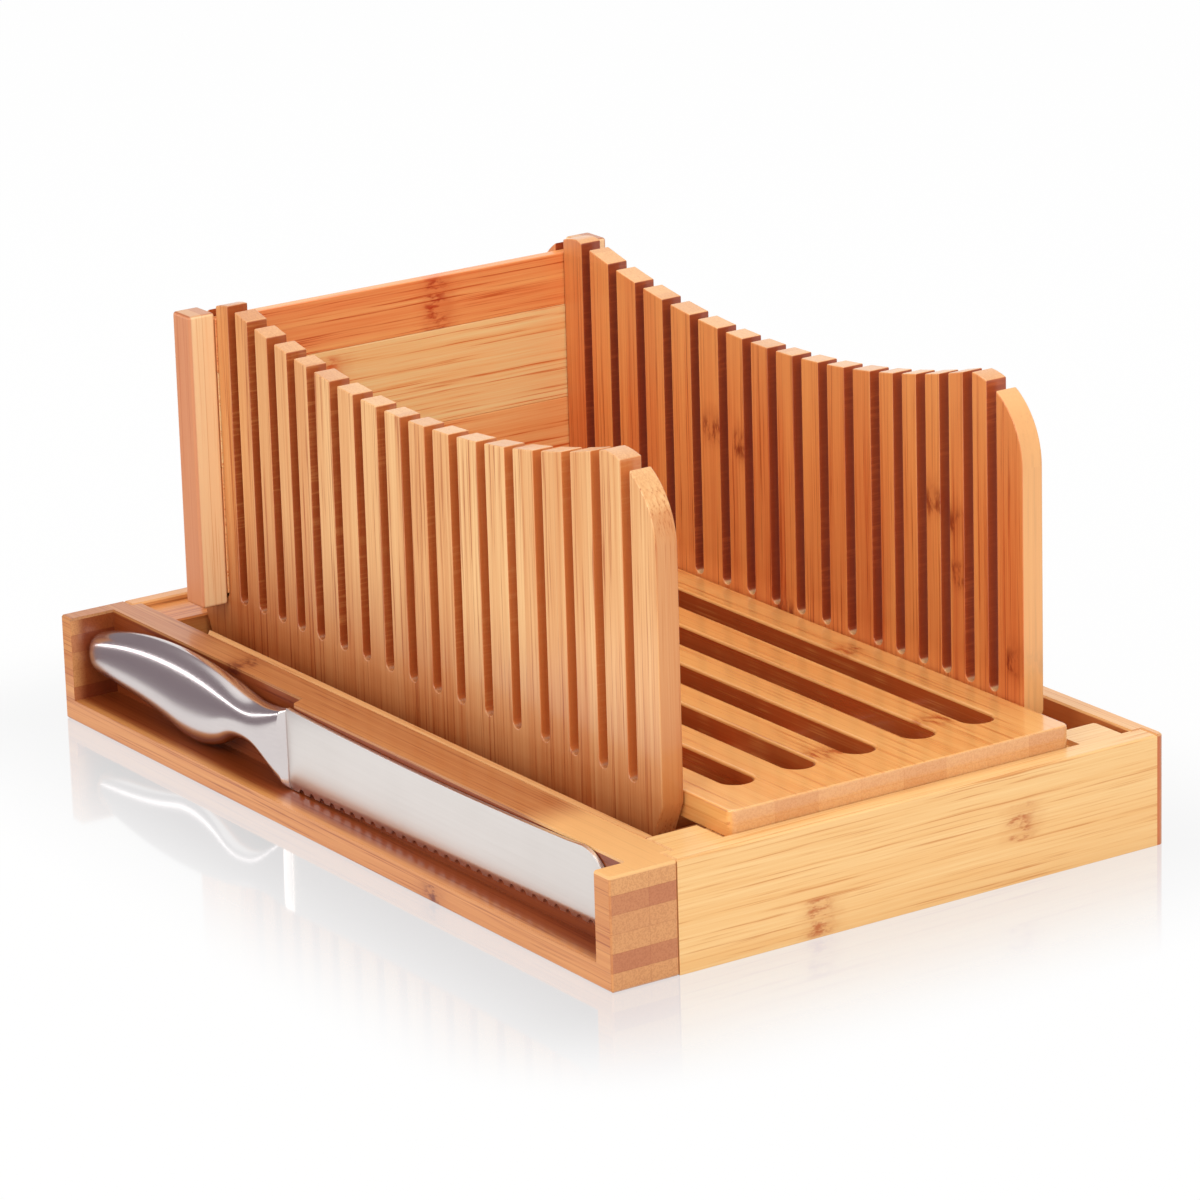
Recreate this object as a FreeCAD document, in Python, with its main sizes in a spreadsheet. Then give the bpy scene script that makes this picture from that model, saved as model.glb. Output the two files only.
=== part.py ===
"""Bamboo bread slicer guide: crumb tray, slatted board, two slotted guides, sliding back panel and knife.

Millimetres. +X to the right, +Y to the rear, +Z up. The origin is the centre of the tray's underside.
Every piece is placed from the tray's front left bottom corner, and every height is above the table.
"""
import FreeCAD
import Part
import Sketcher
import math
import os
import re

from FreeCAD import Rotation, Vector

SIZES = {
    # Tray
    "tray_width": 224.0,
    "tray_depth": 350.0,
    "tray_height": 39.0,
    "edge_bevel": 0.6,
    "corner_round": 2.5,
    # Knife block, the left side of the tray
    "block_width": 30.0,
    "pocket_floor": 8.0,
    "blade_pocket": 12.0,
    "grip_pocket": 17.8,
    "pocket_front_wall": 8.6,
    "pocket_rear_wall": 6.8,
    "grip_pocket_length": 130.2,
    "pocket_shoulder": 3.0,
    # Magnets behind the blade, each measured forward from the blade's heel
    "magnet_diameter": 10.0,
    "magnet_thickness": 4.0,
    "magnet_height": 25.0,
    "front_magnet": 140.6,
    "rear_magnet": 50.6,
    # Front wall, one thick piece with a seat for the board
    "front_lip": 8.6,
    "front_wall_depth": 23.5,
    "end_lap": 4.0,
    "seat_depth": 2.2,
    "seat_margin": 3.8,
    "block_corner": 2.0,
    "wall_gap": 4.3,
    # Right wall and rear wall
    "right_wall": 7.2,
    "outer_skin": 3.2,
    "rear_wall": 6.0,
    "ledge_depth": 20.2,
    # Side rail and tray floor
    "rail_thickness": 3.0,
    "rail_length": 273.5,
    "rail_splay": 4.0,
    "floor_thickness": 4.0,
    "floor_lift": 4.0,
    "groove_depth": 3.5,
    # Slatted board
    "board_left": 53.4,
    "board_width": 137.7,
    "board_thickness": 9.8,
    "board_play": 0.3,
    "board_corner": 3.0,
    "crumb_slots": 5,
    "crumb_slot_width": 12.2,
    "crumb_slot_pitch": 24.5,
    "crumb_slot_end": 19.6,
    # Cross cleats under the board
    "cleat_height": 18.0,
    "cleat_width": 18.0,
    "cleat_spacing": 200.0,
    "cleat_horn": 4.0,
    "horn_drop": 3.8,
    "foot_play": 0.3,
    "screw_diameter": 3.5,
    "screw_head": 7.0,
    "screw_head_height": 2.2,
    "screw_length": 24.0,
    "screw_play": 0.1,
    "screw_edge": 6.9,
    # Guides
    "guide_front": 34.5,
    "guide_length": 290.0,
    "guide_height": 137.6,
    "guide_thickness": 8.5,
    "guide_gap": 0.5,
    "guide_corner": 28.0,
    "saddle_depth": 16.1,
    "foot_taper_height": 24.2,
    "foot_taper_run": 11.0,
    "saw_slot_width": 5.0,
    "saw_slot_end": 16.5,
    "saw_slot_rise": 0.7,
    "slots_per_group": 6,
    "coarse_pitch": 17.0,
    "medium_pitch": 15.0,
    "fine_pitch": 13.0,
    # Back panel and its end battens
    "panel_thickness": 4.6,
    "panel_seat": 1.6,
    "lower_stave": 46.6,
    "middle_stave": 35.0,
    "upper_stave": 19.5,
    "tongue_length": 5.0,
    "tongue_thickness": 2.0,
    "batten_gap": 0.3,
    "batten_width": 10.5,
    "batten_thickness": 11.8,
    "batten_drop": 3.9,
    "batten_rise": 2.5,
    "batten_round": 1.2,
    # Knife
    "knife_plane": 10.9,
    "knife_gap": 0.3,
    "knife_tilt": 1.5,
    "blade_length": 195.6,
    "blade_thickness": 1.6,
    "heel_height": 29.2,
    "tip_height": 25.8,
    "spine_sag": 1.8,
    "tip_round": 15.5,
    "bevel_height": 6.0,
    "bevel_depth": 0.6,
    "serrations": 28,
    "serration_pitch": 6.56,
    "serration_width": 3.6,
    "serration_root": 1.8,
    "serration_depth": 1.5,
    "first_serration": 6.7,
    "tang_length": 24.0,
    "tang_height": 10.0,
    "tang_low": 13.0,
    # Knife grip, measured from the blade's heel and its lowest point
    "grip_length": 131.7,
    "butt_play": 0.9,
    "grip_width": 13.0,
    "grip_round": 5.9,
    "butt_round": 5.0,
    "neck_slope": 29.0,
    "hollow_back": 27.0,
    "hollow_top": 11.4,
    "hollow_radius": 26.0,
    "belly_back": 61.0,
    "belly_low": 2.8,
    "belly_slope": 15.0,
    "palm_radius": 219.0,
    "tail_slope": 7.0,
    "dip_back": 14.0,
    "dip_low": 27.1,
    "dip_radius": 63.0,
    "swell_back": 77.0,
    "swell_top": 34.5,
    "bolster_face": 2.4,
    "bolster_width": 6.6,
    "bolster_length": 2.2,
    "waist_end": 44.0,
}

doc = FreeCAD.newDocument("BreadSlicerGuide")


def fill_sheet():
    """Write every driving size into the spreadsheet, one named row each."""
    sizes = doc.addObject("Spreadsheet::Sheet", "Sizes")
    for row, (name, size) in enumerate(SIZES.items(), start=1):
        sizes.set("A" + str(row), name)
        sizes.set("B" + str(row), str(size))
        sizes.setAlias("B" + str(row), name)
    doc.recompute()
    return sizes


sheet = fill_sheet()


def bound(expression):
    """Point each size name in an expression at its cell in the sheet."""
    return re.sub(r"[a-z_]{3,}", lambda m: "Sizes." + m.group() if m.group() in SIZES else m.group(),
                  expression)


def value(expression):
    """Return the number that an expression of sizes gives now."""
    return float(sheet.evalExpression(bound(expression)))


# The small hidden screws are drawn with this many flats instead of round.
SCREW_SIDES = 8

# Places shared by several pieces, each worked out once from the sizes.
RIGHT_INSIDE = "(tray_width - right_wall)"
REAR_INSIDE = "(tray_depth - rear_wall)"
LEDGE_FRONT = "(tray_depth - rear_wall - ledge_depth)"
BOARD_BOTTOM = "(tray_height - seat_depth)"
BOARD_FRONT = "(front_lip + board_play)"
BOARD_DEPTH = "(tray_depth - rear_wall - front_lip - 2 * board_play)"
FOOT_BOTTOM = "(tray_height - seat_depth - cleat_height)"
CLEAT_LEFT = "(board_left - guide_gap - guide_thickness - foot_play - cleat_horn)"
CLEAT_LENGTH = "(board_width + 2 * (guide_gap + guide_thickness + foot_play + cleat_horn))"
LAP_DEPTH = "(cleat_height / 2)"
SLOT_FLOOR = "(cleat_height + board_thickness + saw_slot_rise)"
PANEL_MIDDLE = "(guide_front + guide_length - saw_slot_end)"
PANEL_BOTTOM = "(" + FOOT_BOTTOM + " + " + SLOT_FLOOR + " + panel_seat)"
PANEL_LEFT = "(board_left - guide_gap - guide_thickness - batten_gap)"
PANEL_LENGTH = "(board_width + 2 * (guide_gap + guide_thickness + batten_gap))"
PANEL_HEIGHT = "(lower_stave + middle_stave + upper_stave)"
BATTEN_HEIGHT = "(" + PANEL_HEIGHT + " + batten_drop + batten_rise)"
BLADE_HEEL = "(tray_depth - pocket_rear_wall - butt_play - grip_length)"
MAGNET_MIDDLES = (BLADE_HEEL + " - front_magnet", BLADE_HEEL + " - rear_magnet")


def new_body(name, x, y, z):
    """Start a sub-part, placed from the tray's front left bottom corner."""
    body = doc.addObject("PartDesign::Body", name)
    body.Label = name
    place(body, x, y, z)
    return body


def place(part, x, y, z):
    """Bind a sub-part's place to the sizes, with the origin under the middle of the tray."""
    part.setExpression("Placement.Base.x", bound(x + " - tray_width / 2"))
    part.setExpression("Placement.Base.y", bound(y + " - tray_depth / 2"))
    part.setExpression("Placement.Base.z", bound(z))


def new_sketch(body, plane_role, offset="0"):
    """Add a sketch on one of the body's own origin planes, moved along the plane's normal."""
    plane = next(f for f in body.Origin.OriginFeatures if f.Role == plane_role)
    sketch = body.newObject("Sketcher::SketchObject", body.Name + "_sketch")
    sketch.AttachmentSupport = (plane, "")
    sketch.MapMode = "FlatFace"
    sketch.setExpression("AttachmentOffset.Base.z", bound(offset))
    return sketch


def fix_point(sketch, geometry, point, x, y):
    """Hold a sketch point at two distances from the sketch's origin, each bound to the sizes."""
    for kind, axis, expression in (("DistanceX", -2, x), ("DistanceY", -1, y)):
        distance = value(expression)
        if abs(distance) < 1e-9:
            sketch.addConstraint(Sketcher.Constraint("PointOnObject", geometry, point, axis))
            continue
        if distance > 0:
            ends = (-1, 1, geometry, point, distance)
        else:
            ends = (geometry, point, -1, 1, -distance)
            expression = "-(" + expression + ")"
        index = sketch.addConstraint(Sketcher.Constraint(kind, *ends))
        sketch.setExpression("Constraints[" + str(index) + "]", bound(expression))


def outline(sketch, corners):
    """Draw a closed outline.

    Each corner is (x, y), reached by a straight line from the corner before it, or
    (x, y, centre x, centre y, turn), reached by an arc, anticlockwise where turn is 1 and clockwise at -1.
    """
    joints = []
    arcs = []
    for number, corner in enumerate(corners):
        start = Vector(value(corners[number - 1][0]), value(corners[number - 1][1]), 0)
        end = Vector(value(corner[0]), value(corner[1]), 0)
        if len(corner) == 2:
            joints.append((sketch.addGeometry(Part.LineSegment(start, end), False), 1, 2))
            continue
        centre = Vector(value(corner[2]), value(corner[3]), 0)
        first, last = (start, end) if corner[4] > 0 else (end, start)
        from_angle = math.atan2(first.y - centre.y, first.x - centre.x)
        to_angle = math.atan2(last.y - centre.y, last.x - centre.x)
        if to_angle <= from_angle:
            to_angle += 2 * math.pi
        circle = Part.Circle(centre, Vector(0, 0, 1), (start - centre).Length)
        arc = sketch.addGeometry(Part.ArcOfCircle(circle, from_angle, to_angle), False)
        joints.append((arc, 1, 2) if corner[4] > 0 else (arc, 2, 1))
        chord = end - start
        arcs.append((arc, corner, abs(chord.x) > abs(chord.y)))
    for number, (geometry, _, end_point) in enumerate(joints):
        following, start_point, _ = joints[(number + 1) % len(joints)]
        sketch.addConstraint(Sketcher.Constraint("Coincident", geometry, end_point, following, start_point))
        fix_point(sketch, geometry, end_point, corners[number][0], corners[number][1])
    for arc, corner, flat_chord in arcs:
        kind = "DistanceY" if flat_chord else "DistanceX"
        expression = corner[3] if flat_chord else corner[2]
        distance = value(expression)
        ends = (-1, 1, arc, 3, distance) if distance > 0 else (arc, 3, -1, 1, -distance)
        sign = "" if distance > 0 else "-"
        index = sketch.addConstraint(Sketcher.Constraint(kind, *ends))
        sketch.setExpression("Constraints[" + str(index) + "]", bound(sign + "(" + expression + ")"))


def rectangle(sketch, left, low, right, high):
    """Draw a rectangle between two corners."""
    outline(sketch, [(left, low), (right, low), (right, high), (left, high)])


def stadium(sketch, middle, low, high, width):
    """Draw an upright slot shape with half-round ends."""
    left = middle + " - (" + width + ") / 2"
    right = middle + " + (" + width + ") / 2"
    foot = low + " + (" + width + ") / 2"
    head = high + " - (" + width + ") / 2"
    outline(sketch, [
        (left, foot),
        (right, foot, middle, foot, 1),
        (right, head),
        (left, head, middle, head, 1),
    ])


def circle(sketch, x, y, diameter):
    """Draw a circle of a bound diameter about a bound centre."""
    shape = Part.Circle(Vector(value(x), value(y), 0), Vector(0, 0, 1), value(diameter) / 2)
    ring = sketch.addGeometry(shape, False)
    fix_point(sketch, ring, 3, x, y)
    index = sketch.addConstraint(Sketcher.Constraint("Diameter", ring, value(diameter)))
    sketch.setExpression("Constraints[" + str(index) + "]", bound(diameter))


def pad(body, sketch, length):
    """Raise a sketch into a solid along the sketch's normal."""
    feature = body.newObject("PartDesign::Pad", body.Name + "_pad")
    feature.Profile = sketch
    feature.setExpression("Length", bound(length))
    doc.recompute()
    return feature


def pocket(body, sketch, depth, along_normal=False):
    """Cut a sketch into the solid, against the sketch's normal unless told to follow it."""
    before = body.Shape.Volume
    feature = body.newObject("PartDesign::Pocket", body.Name + "_pocket")
    feature.Profile = sketch
    feature.Reversed = along_normal
    feature.setExpression("Length", bound(depth))
    doc.recompute()
    if body.Shape.Volume > before - 1e-3:
        raise RuntimeError(feature.Name + " cuts nothing")
    return feature


def row_of(body, feature, sketch, count, pitch, backwards=False):
    """Repeat a feature along its own sketch's horizontal axis."""
    before = body.Shape.Volume
    pattern = body.newObject("PartDesign::LinearPattern", body.Name + "_row")
    pattern.Originals = [feature]
    pattern.Direction = (sketch, ["H_Axis"])
    pattern.Reversed = backwards
    pattern.setExpression("Occurrences", bound(count))
    pattern.setExpression("Length", bound("(" + count + " - 1) * (" + pitch + ")"))
    body.Tip = pattern
    doc.recompute()
    if body.Shape.Volume > before - 1e-3:
        raise RuntimeError(pattern.Name + " cuts nothing")
    return pattern


def edge_names(shape, wanted):
    """Name the edges of a shape that pass a test."""
    return ["Edge" + str(i) for i, edge in enumerate(shape.Edges, start=1) if wanted(edge)]


def dress(body, kind, feature, wanted, size):
    """Round or bevel the chosen edges of a feature."""
    names = edge_names(feature.Shape, wanted)
    if not names:
        raise RuntimeError("no edges to dress on " + body.Name)
    dressing = body.newObject("PartDesign::" + kind, body.Name + "_" + kind.lower())
    dressing.Base = (feature, names)
    dressing.setExpression("Radius" if kind == "Fillet" else "Size", bound(size))
    body.Tip = dressing
    doc.recompute()
    return dressing


def upright(x, y):
    """Make a test for the upright edge that stands at a point of the body's own plan."""
    def wanted(edge):
        ends = [vertex.Point for vertex in edge.Vertexes]
        return len(ends) == 2 and all(math.hypot(end.x - value(x), end.y - value(y)) < 0.01 for end in ends)
    return wanted


def board(name, x, y, z, plan, height):
    """Make a board: a plan outline raised to a height."""
    body = new_body(name, x, y, z)
    sketch = new_sketch(body, "XY_Plane")
    outline(sketch, plan)
    return body, pad(body, sketch, height)


def floor_groove(body, left, front, right, rear):
    """Cut the level groove that holds the tray floor."""
    sketch = new_sketch(body, "XY_Plane", "floor_lift + floor_thickness")
    rectangle(sketch, left, front, right, rear)
    return pocket(body, sketch, "floor_thickness")


def make_knife_block():
    """The left side of the tray: a thick block with the knife's pocket, open to the left and the top."""
    plan = [
        ("0", "0"),
        ("block_width - end_lap", "0"),
        ("block_width - end_lap", "front_lip"),
        ("block_width", "front_lip"),
        ("block_width", REAR_INSIDE),
        ("block_width - end_lap", REAR_INSIDE),
        ("block_width - end_lap", "tray_depth"),
        ("0", "tray_depth"),
    ]
    body, block = board("knife_block", "0", "0", "0", plan, "tray_height")
    inner_corners = [upright("block_width - end_lap", y) for y in ("front_lip", REAR_INSIDE)]
    dress(body, "Chamfer", block, lambda edge: not any(test(edge) for test in inner_corners), "edge_bevel")
    pocket_plan = new_sketch(body, "XY_Plane", "tray_height")
    shoulder = "tray_depth - pocket_rear_wall - grip_pocket_length"
    pocket_rear = "tray_depth - pocket_rear_wall"
    outline(pocket_plan, [
        ("-edge_bevel", "pocket_front_wall"),
        ("blade_pocket", "pocket_front_wall"),
        ("blade_pocket", shoulder + " - pocket_shoulder"),
        ("grip_pocket", shoulder),
        ("grip_pocket", pocket_rear),
        ("-edge_bevel", pocket_rear),
    ])
    hollow = pocket(body, pocket_plan, "tray_height - pocket_floor")
    dress(body, "Fillet", hollow, upright("blade_pocket", shoulder + " - pocket_shoulder"), "pocket_shoulder")
    floor_groove(body, "block_width - groove_depth", "front_wall_depth - groove_depth",
                 "block_width", LEDGE_FRONT + " + groove_depth")
    for middle in MAGNET_MIDDLES:
        seat = new_sketch(body, "YZ_Plane", "blade_pocket")
        circle(seat, middle, "magnet_height", "magnet_diameter")
        pocket(body, seat, "magnet_thickness", along_normal=True)
    return body


def make_knife_magnets():
    """Two disc magnets let into the pocket's back wall, which hold the blade against it."""
    discs = []
    for middle in MAGNET_MIDDLES:
        disc = Part.makeCylinder(value("magnet_diameter") / 2, value("magnet_thickness"), Vector(0, 0, 0),
                                 Vector(1, 0, 0))
        disc.translate(Vector(value("blade_pocket"), value(middle), value("magnet_height")))
        discs.append(disc)
    return group("knife_magnets", discs, "0", "0", "0")


def group(name, solids, x, y, z):
    """Keep several identical solids as one sub-part."""
    part = doc.addObject("Part::Feature", name)
    part.Label = name
    part.Shape = Part.makeCompound(solids)
    place(part, x, y, z)
    return part


def make_front_wall():
    """The thick front wall, lapped into both sides, with a shallow seat for the slatted board.

    A narrow gap beside the right wall goes down to the tray floor.
    """
    gap_side = RIGHT_INSIDE + " - wall_gap"
    lap_end = "tray_width - outer_skin"
    plan = [
        ("block_width - end_lap", "0"),
        (lap_end, "0"),
        (lap_end, "front_lip"),
        (RIGHT_INSIDE, "front_lip"),
        (RIGHT_INSIDE, "front_wall_depth"),
        ("block_width", "front_wall_depth"),
        ("block_width", "front_lip"),
        ("block_width - end_lap", "front_lip"),
    ]
    body, wall = board("front_wall", "0", "0", "0", plan, "tray_height")
    level = value("tray_height") - 0.01
    dress(body, "Chamfer", wall, lambda edge: edge.BoundBox.ZMin > level, "edge_bevel")
    gap = new_sketch(body, "XY_Plane", "tray_height")
    rectangle(gap, gap_side, "front_lip", RIGHT_INSIDE + " + end_lap", "front_wall_depth + end_lap")
    cut = pocket(body, gap, "tray_height - floor_lift - floor_thickness")
    dress(body, "Fillet", cut, upright(gap_side, "front_wall_depth"), "block_corner")
    seat = new_sketch(body, "XY_Plane", "tray_height")
    rectangle(seat, "board_left - seat_margin", "front_lip",
              "board_left + board_width + seat_margin", "front_wall_depth")
    pocket(body, seat, "seat_depth")
    floor_groove(body, "block_width", "front_wall_depth - groove_depth", RIGHT_INSIDE, "front_wall_depth")
    return body


def make_right_wall():
    """The right wall: its outer skin runs past the ends of the front and rear walls."""
    skin = "tray_width - outer_skin"
    plan = [
        (skin, "0"),
        ("tray_width", "0"),
        ("tray_width", "tray_depth"),
        (skin, "tray_depth"),
        (skin, REAR_INSIDE),
        (RIGHT_INSIDE, REAR_INSIDE),
        (RIGHT_INSIDE, "front_lip"),
        (skin, "front_lip"),
    ]
    body, wall = board("right_wall", "0", "0", "0", plan, "tray_height")
    corners = [upright("tray_width", "0"), upright("tray_width", "tray_depth")]
    rounded = dress(body, "Fillet", wall, lambda edge: any(test(edge) for test in corners), "corner_round")
    level = value("tray_height") - 0.01
    dress(body, "Chamfer", rounded, lambda edge: edge.BoundBox.ZMin > level, "edge_bevel")
    floor_groove(body, RIGHT_INSIDE, "front_wall_depth - groove_depth",
                 RIGHT_INSIDE + " + groove_depth", LEDGE_FRONT + " + groove_depth")
    return body


def make_rear_wall():
    """The thin rear wall, let into the ends of the knife block and the right wall."""
    left = "block_width - end_lap"
    right = "tray_width - outer_skin"
    plan = [(left, REAR_INSIDE), (right, REAR_INSIDE), (right, "tray_depth"), (left, "tray_depth")]
    body, wall = board("rear_wall", "0", "0", "0", plan, "tray_height")
    level = value("tray_height") - 0.01
    dress(body, "Chamfer", wall, lambda edge: edge.BoundBox.ZMin > level, "edge_bevel")
    return body


def make_rear_ledge():
    """The ledge in front of the rear wall, which carries the rear end of the slatted board."""
    plan = [
        ("block_width", LEDGE_FRONT),
        (RIGHT_INSIDE, LEDGE_FRONT),
        (RIGHT_INSIDE, REAR_INSIDE),
        ("block_width", REAR_INSIDE),
    ]
    body, ledge = board("rear_ledge", "0", "0", "0", plan, BOARD_BOTTOM)
    top = value(BOARD_BOTTOM) - 0.01
    dress(body, "Chamfer", ledge, lambda edge: edge.BoundBox.ZMin > top, "edge_bevel")
    floor_groove(body, "block_width", LEDGE_FRONT, RIGHT_INSIDE, LEDGE_FRONT + " + groove_depth")
    return body


def make_side_rail():
    """The pale rail along the knife block's inner face, with its rear end cut at a slant."""
    plan = [
        ("0", "0"),
        ("rail_thickness", "0"),
        ("rail_thickness", "rail_length + rail_splay"),
        ("0", "rail_length"),
    ]
    foot = "(floor_lift + floor_thickness)"
    height = "(tray_height - " + foot + ")"
    body, rail = board("side_rail", "block_width", "front_wall_depth", foot, plan, height)
    level = value(height) - 0.01
    dress(body, "Chamfer", rail, lambda edge: edge.BoundBox.ZMin > level, "edge_bevel")
    return body


def make_tray_floor():
    """The thin floor that catches the crumbs, held in grooves all round."""
    left = "(block_width - groove_depth)"
    front = "(front_wall_depth - groove_depth)"
    width = RIGHT_INSIDE + " + groove_depth - " + left
    depth = LEDGE_FRONT + " + groove_depth - " + front
    plan = [("0", "0"), (width, "0"), (width, depth), ("0", depth)]
    return board("tray_floor", left, front, "floor_lift", plan, "floor_thickness")[0]


def make_slatted_board():
    """The board the loaf stands on: crumbs fall through its long slots."""
    plan = [("0", "0"), ("board_width", "0"), ("board_width", BOARD_DEPTH), ("0", BOARD_DEPTH)]
    body, plank = board("slatted_board", "board_left", BOARD_FRONT, BOARD_BOTTOM, plan, "board_thickness")
    rounded = dress(body, "Fillet", plank, lambda edge: edge.Length == plank.Shape.BoundBox.ZLength,
                    "board_corner")
    dress(body, "Chamfer", rounded, lambda edge: edge.BoundBox.ZLength < 0.01, "edge_bevel")
    slot = new_sketch(body, "XY_Plane", "board_thickness")
    first = "board_width / 2 - (crumb_slots - 1) / 2 * crumb_slot_pitch"
    stadium(slot, first, "crumb_slot_end", BOARD_DEPTH + " - crumb_slot_end", "crumb_slot_width")
    cut = pocket(body, slot, "board_thickness")
    row_of(body, cut, slot, "crumb_slots", "crumb_slot_pitch")
    for x, y in screw_places():
        hole = new_sketch(body, "XY_Plane")
        screw_section(hole, x, y + " - " + BOARD_FRONT, "screw_diameter + 2 * screw_play")
        pocket(body, hole, "screw_length - cleat_height + screw_play", along_normal=True)
    return body


def section_corners(x, y, across):
    """Give the corners of a screw's many-sided section, with its flats as far apart as the screw is thick."""
    radius = " + (" + across + ") / 2 / cos(" + str(180 / SCREW_SIDES) + ")"
    corners = []
    for number in range(SCREW_SIDES):
        turn = "(" + str((number + 0.5) * 360 / SCREW_SIDES) + ")"
        corners.append((x + radius + " * cos" + turn, y + radius + " * sin" + turn))
    return corners


def screw_section(sketch, x, y, across):
    """Draw the hole for a screw, or for its head, round the screw's middle."""
    outline(sketch, section_corners(x, y, across))


def screw_places():
    """List where the cleat screws stand: from the board's left edge, and from the tray's front."""
    places = []
    for y in cleat_middles():
        for x in ("screw_edge", "board_width - screw_edge"):
            places.append((x, y))
    return places


def cleat_middles():
    """Give the two cleats' middles, from the tray's front."""
    middle = "(guide_front + guide_length / 2)"
    return (middle + " - cleat_spacing / 2", middle + " + cleat_spacing / 2")


def make_cleat(name, middle):
    """A cross cleat screwed under the board, notched at each end for a guide's foot."""
    body = new_body(name, CLEAT_LEFT, middle + " - cleat_width / 2", FOOT_BOTTOM)
    notch_out = "cleat_horn"
    notch_in = "cleat_horn + guide_thickness + 2 * foot_play"
    horn_top = "cleat_height - horn_drop"
    notch_floor = "cleat_height - " + LAP_DEPTH
    face = new_sketch(body, "XZ_Plane", "-cleat_width")
    outline(face, [
        ("0", "0"),
        (CLEAT_LENGTH, "0"),
        (CLEAT_LENGTH, horn_top),
        (CLEAT_LENGTH + " - " + notch_out, horn_top),
        (CLEAT_LENGTH + " - " + notch_out, notch_floor),
        (CLEAT_LENGTH + " - (" + notch_in + ")", notch_floor),
        (CLEAT_LENGTH + " - (" + notch_in + ")", "cleat_height"),
        (notch_in, "cleat_height"),
        (notch_in, notch_floor),
        (notch_out, notch_floor),
        (notch_out, horn_top),
        ("0", horn_top),
    ])
    pad(body, face, "cleat_width")
    board_edge = "board_left - " + CLEAT_LEFT
    for x, y in screw_places():
        if y != middle:
            continue
        from_end = board_edge + " + " + x
        for across, depth in (("screw_diameter", "cleat_height"), ("screw_head", "screw_head_height")):
            hole = new_sketch(body, "XY_Plane")
            screw_section(hole, from_end, "cleat_width / 2", across + " + 2 * screw_play")
            pocket(body, hole, depth, along_normal=True)
    return body


def make_cleat_screws():
    """Sunk wood screws that hold the cleats to the board, driven from below."""
    screws = []
    for x, y in screw_places():
        pieces = []
        for across, length in (("screw_head", "screw_head_height"), ("screw_diameter", "screw_length")):
            section = section_corners("board_left + " + x, y, across)
            corners = [Vector(value(corner_x), value(corner_y), 0) for corner_x, corner_y in section]
            face = Part.Face(Part.makePolygon(corners + corners[:1]))
            pieces.append(face.extrude(Vector(0, 0, value(length))))
        head, shank = pieces
        screws.append(head.fuse(shank).removeSplitter())
    return group("cleat_screws", screws, "0", "0", FOOT_BOTTOM)


def make_guide(name, x, y, turn):
    """A slotted plate that steers the knife: three groups of saw slots, each at its own pitch.

    Both guides are the same plate. The right one is turned end for end.
    """
    body = new_body(name, x, y, FOOT_BOTTOM)
    body.Placement.Rotation = Rotation(Vector(0, 0, 1), turn)
    shoulder = "guide_height - guide_corner"
    saddle_half = "(guide_length / 2 - guide_corner)"
    saddle_radius = "((" + saddle_half + "^2 + saddle_depth^2) / (2 * saddle_depth))"
    saddle_middle = "guide_height - saddle_depth + " + saddle_radius
    notch_half = "cleat_width / 2 + foot_play"
    notches = []
    for side in (" - ", " + "):
        middle = "guide_length / 2" + side + "cleat_spacing / 2"
        notches += [
            (middle + " - (" + notch_half + ")", "0"),
            (middle + " - (" + notch_half + ")", LAP_DEPTH),
            (middle + " + " + notch_half, LAP_DEPTH),
            (middle + " + " + notch_half, "0"),
        ]
    face = new_sketch(body, "YZ_Plane")
    outline(face, [
        ("foot_taper_run", "0"),
        *notches,
        ("guide_length - foot_taper_run", "0"),
        ("guide_length", "foot_taper_height"),
        ("guide_length", shoulder),
        ("guide_length - guide_corner", "guide_height", "guide_length - guide_corner", shoulder, 1),
        ("guide_corner", "guide_height", "guide_length / 2", saddle_middle, -1),
        ("0", shoulder, "guide_corner", shoulder, 1),
        ("0", "foot_taper_height"),
    ])
    pad(body, face, "guide_thickness")
    first = "saw_slot_end"
    for pitch in ("coarse_pitch", "medium_pitch", "fine_pitch"):
        slot = new_sketch(body, "YZ_Plane")
        stadium(slot, first, SLOT_FLOOR, "guide_height + saw_slot_width", "saw_slot_width")
        cut = pocket(body, slot, "guide_thickness", along_normal=True)
        row_of(body, cut, slot, "slots_per_group", pitch)
        last = first + " + (slots_per_group - 1) * " + pitch
        first = last + " + " + pitch
    return body


def tongue_sides():
    """Give the front and rear of the tongue, from the panel's front face."""
    return ("panel_thickness / 2 - tongue_thickness / 2", "panel_thickness / 2 + tongue_thickness / 2")


def make_stave(name, below, height, softened=False):
    """One board of the back panel, with a tongue at each end that is glued into a batten."""
    front, rear = tongue_sides()
    plan = [
        ("0", "0"),
        (PANEL_LENGTH, "0"),
        (PANEL_LENGTH, front),
        (PANEL_LENGTH + " + tongue_length", front),
        (PANEL_LENGTH + " + tongue_length", rear),
        (PANEL_LENGTH, rear),
        (PANEL_LENGTH, "panel_thickness"),
        ("0", "panel_thickness"),
        ("0", rear),
        ("-tongue_length", rear),
        ("-tongue_length", front),
        ("0", front),
    ]
    body, stave = board(name, PANEL_LEFT, PANEL_MIDDLE + " - panel_thickness / 2",
                        PANEL_BOTTOM + " + " + below, plan, height)
    if softened:
        top = value(height) - 0.01
        dress(body, "Chamfer", stave, lambda edge: edge.BoundBox.ZMin > top
              and edge.Length > value(PANEL_LENGTH) - 0.01, "edge_bevel")
    return body


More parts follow.
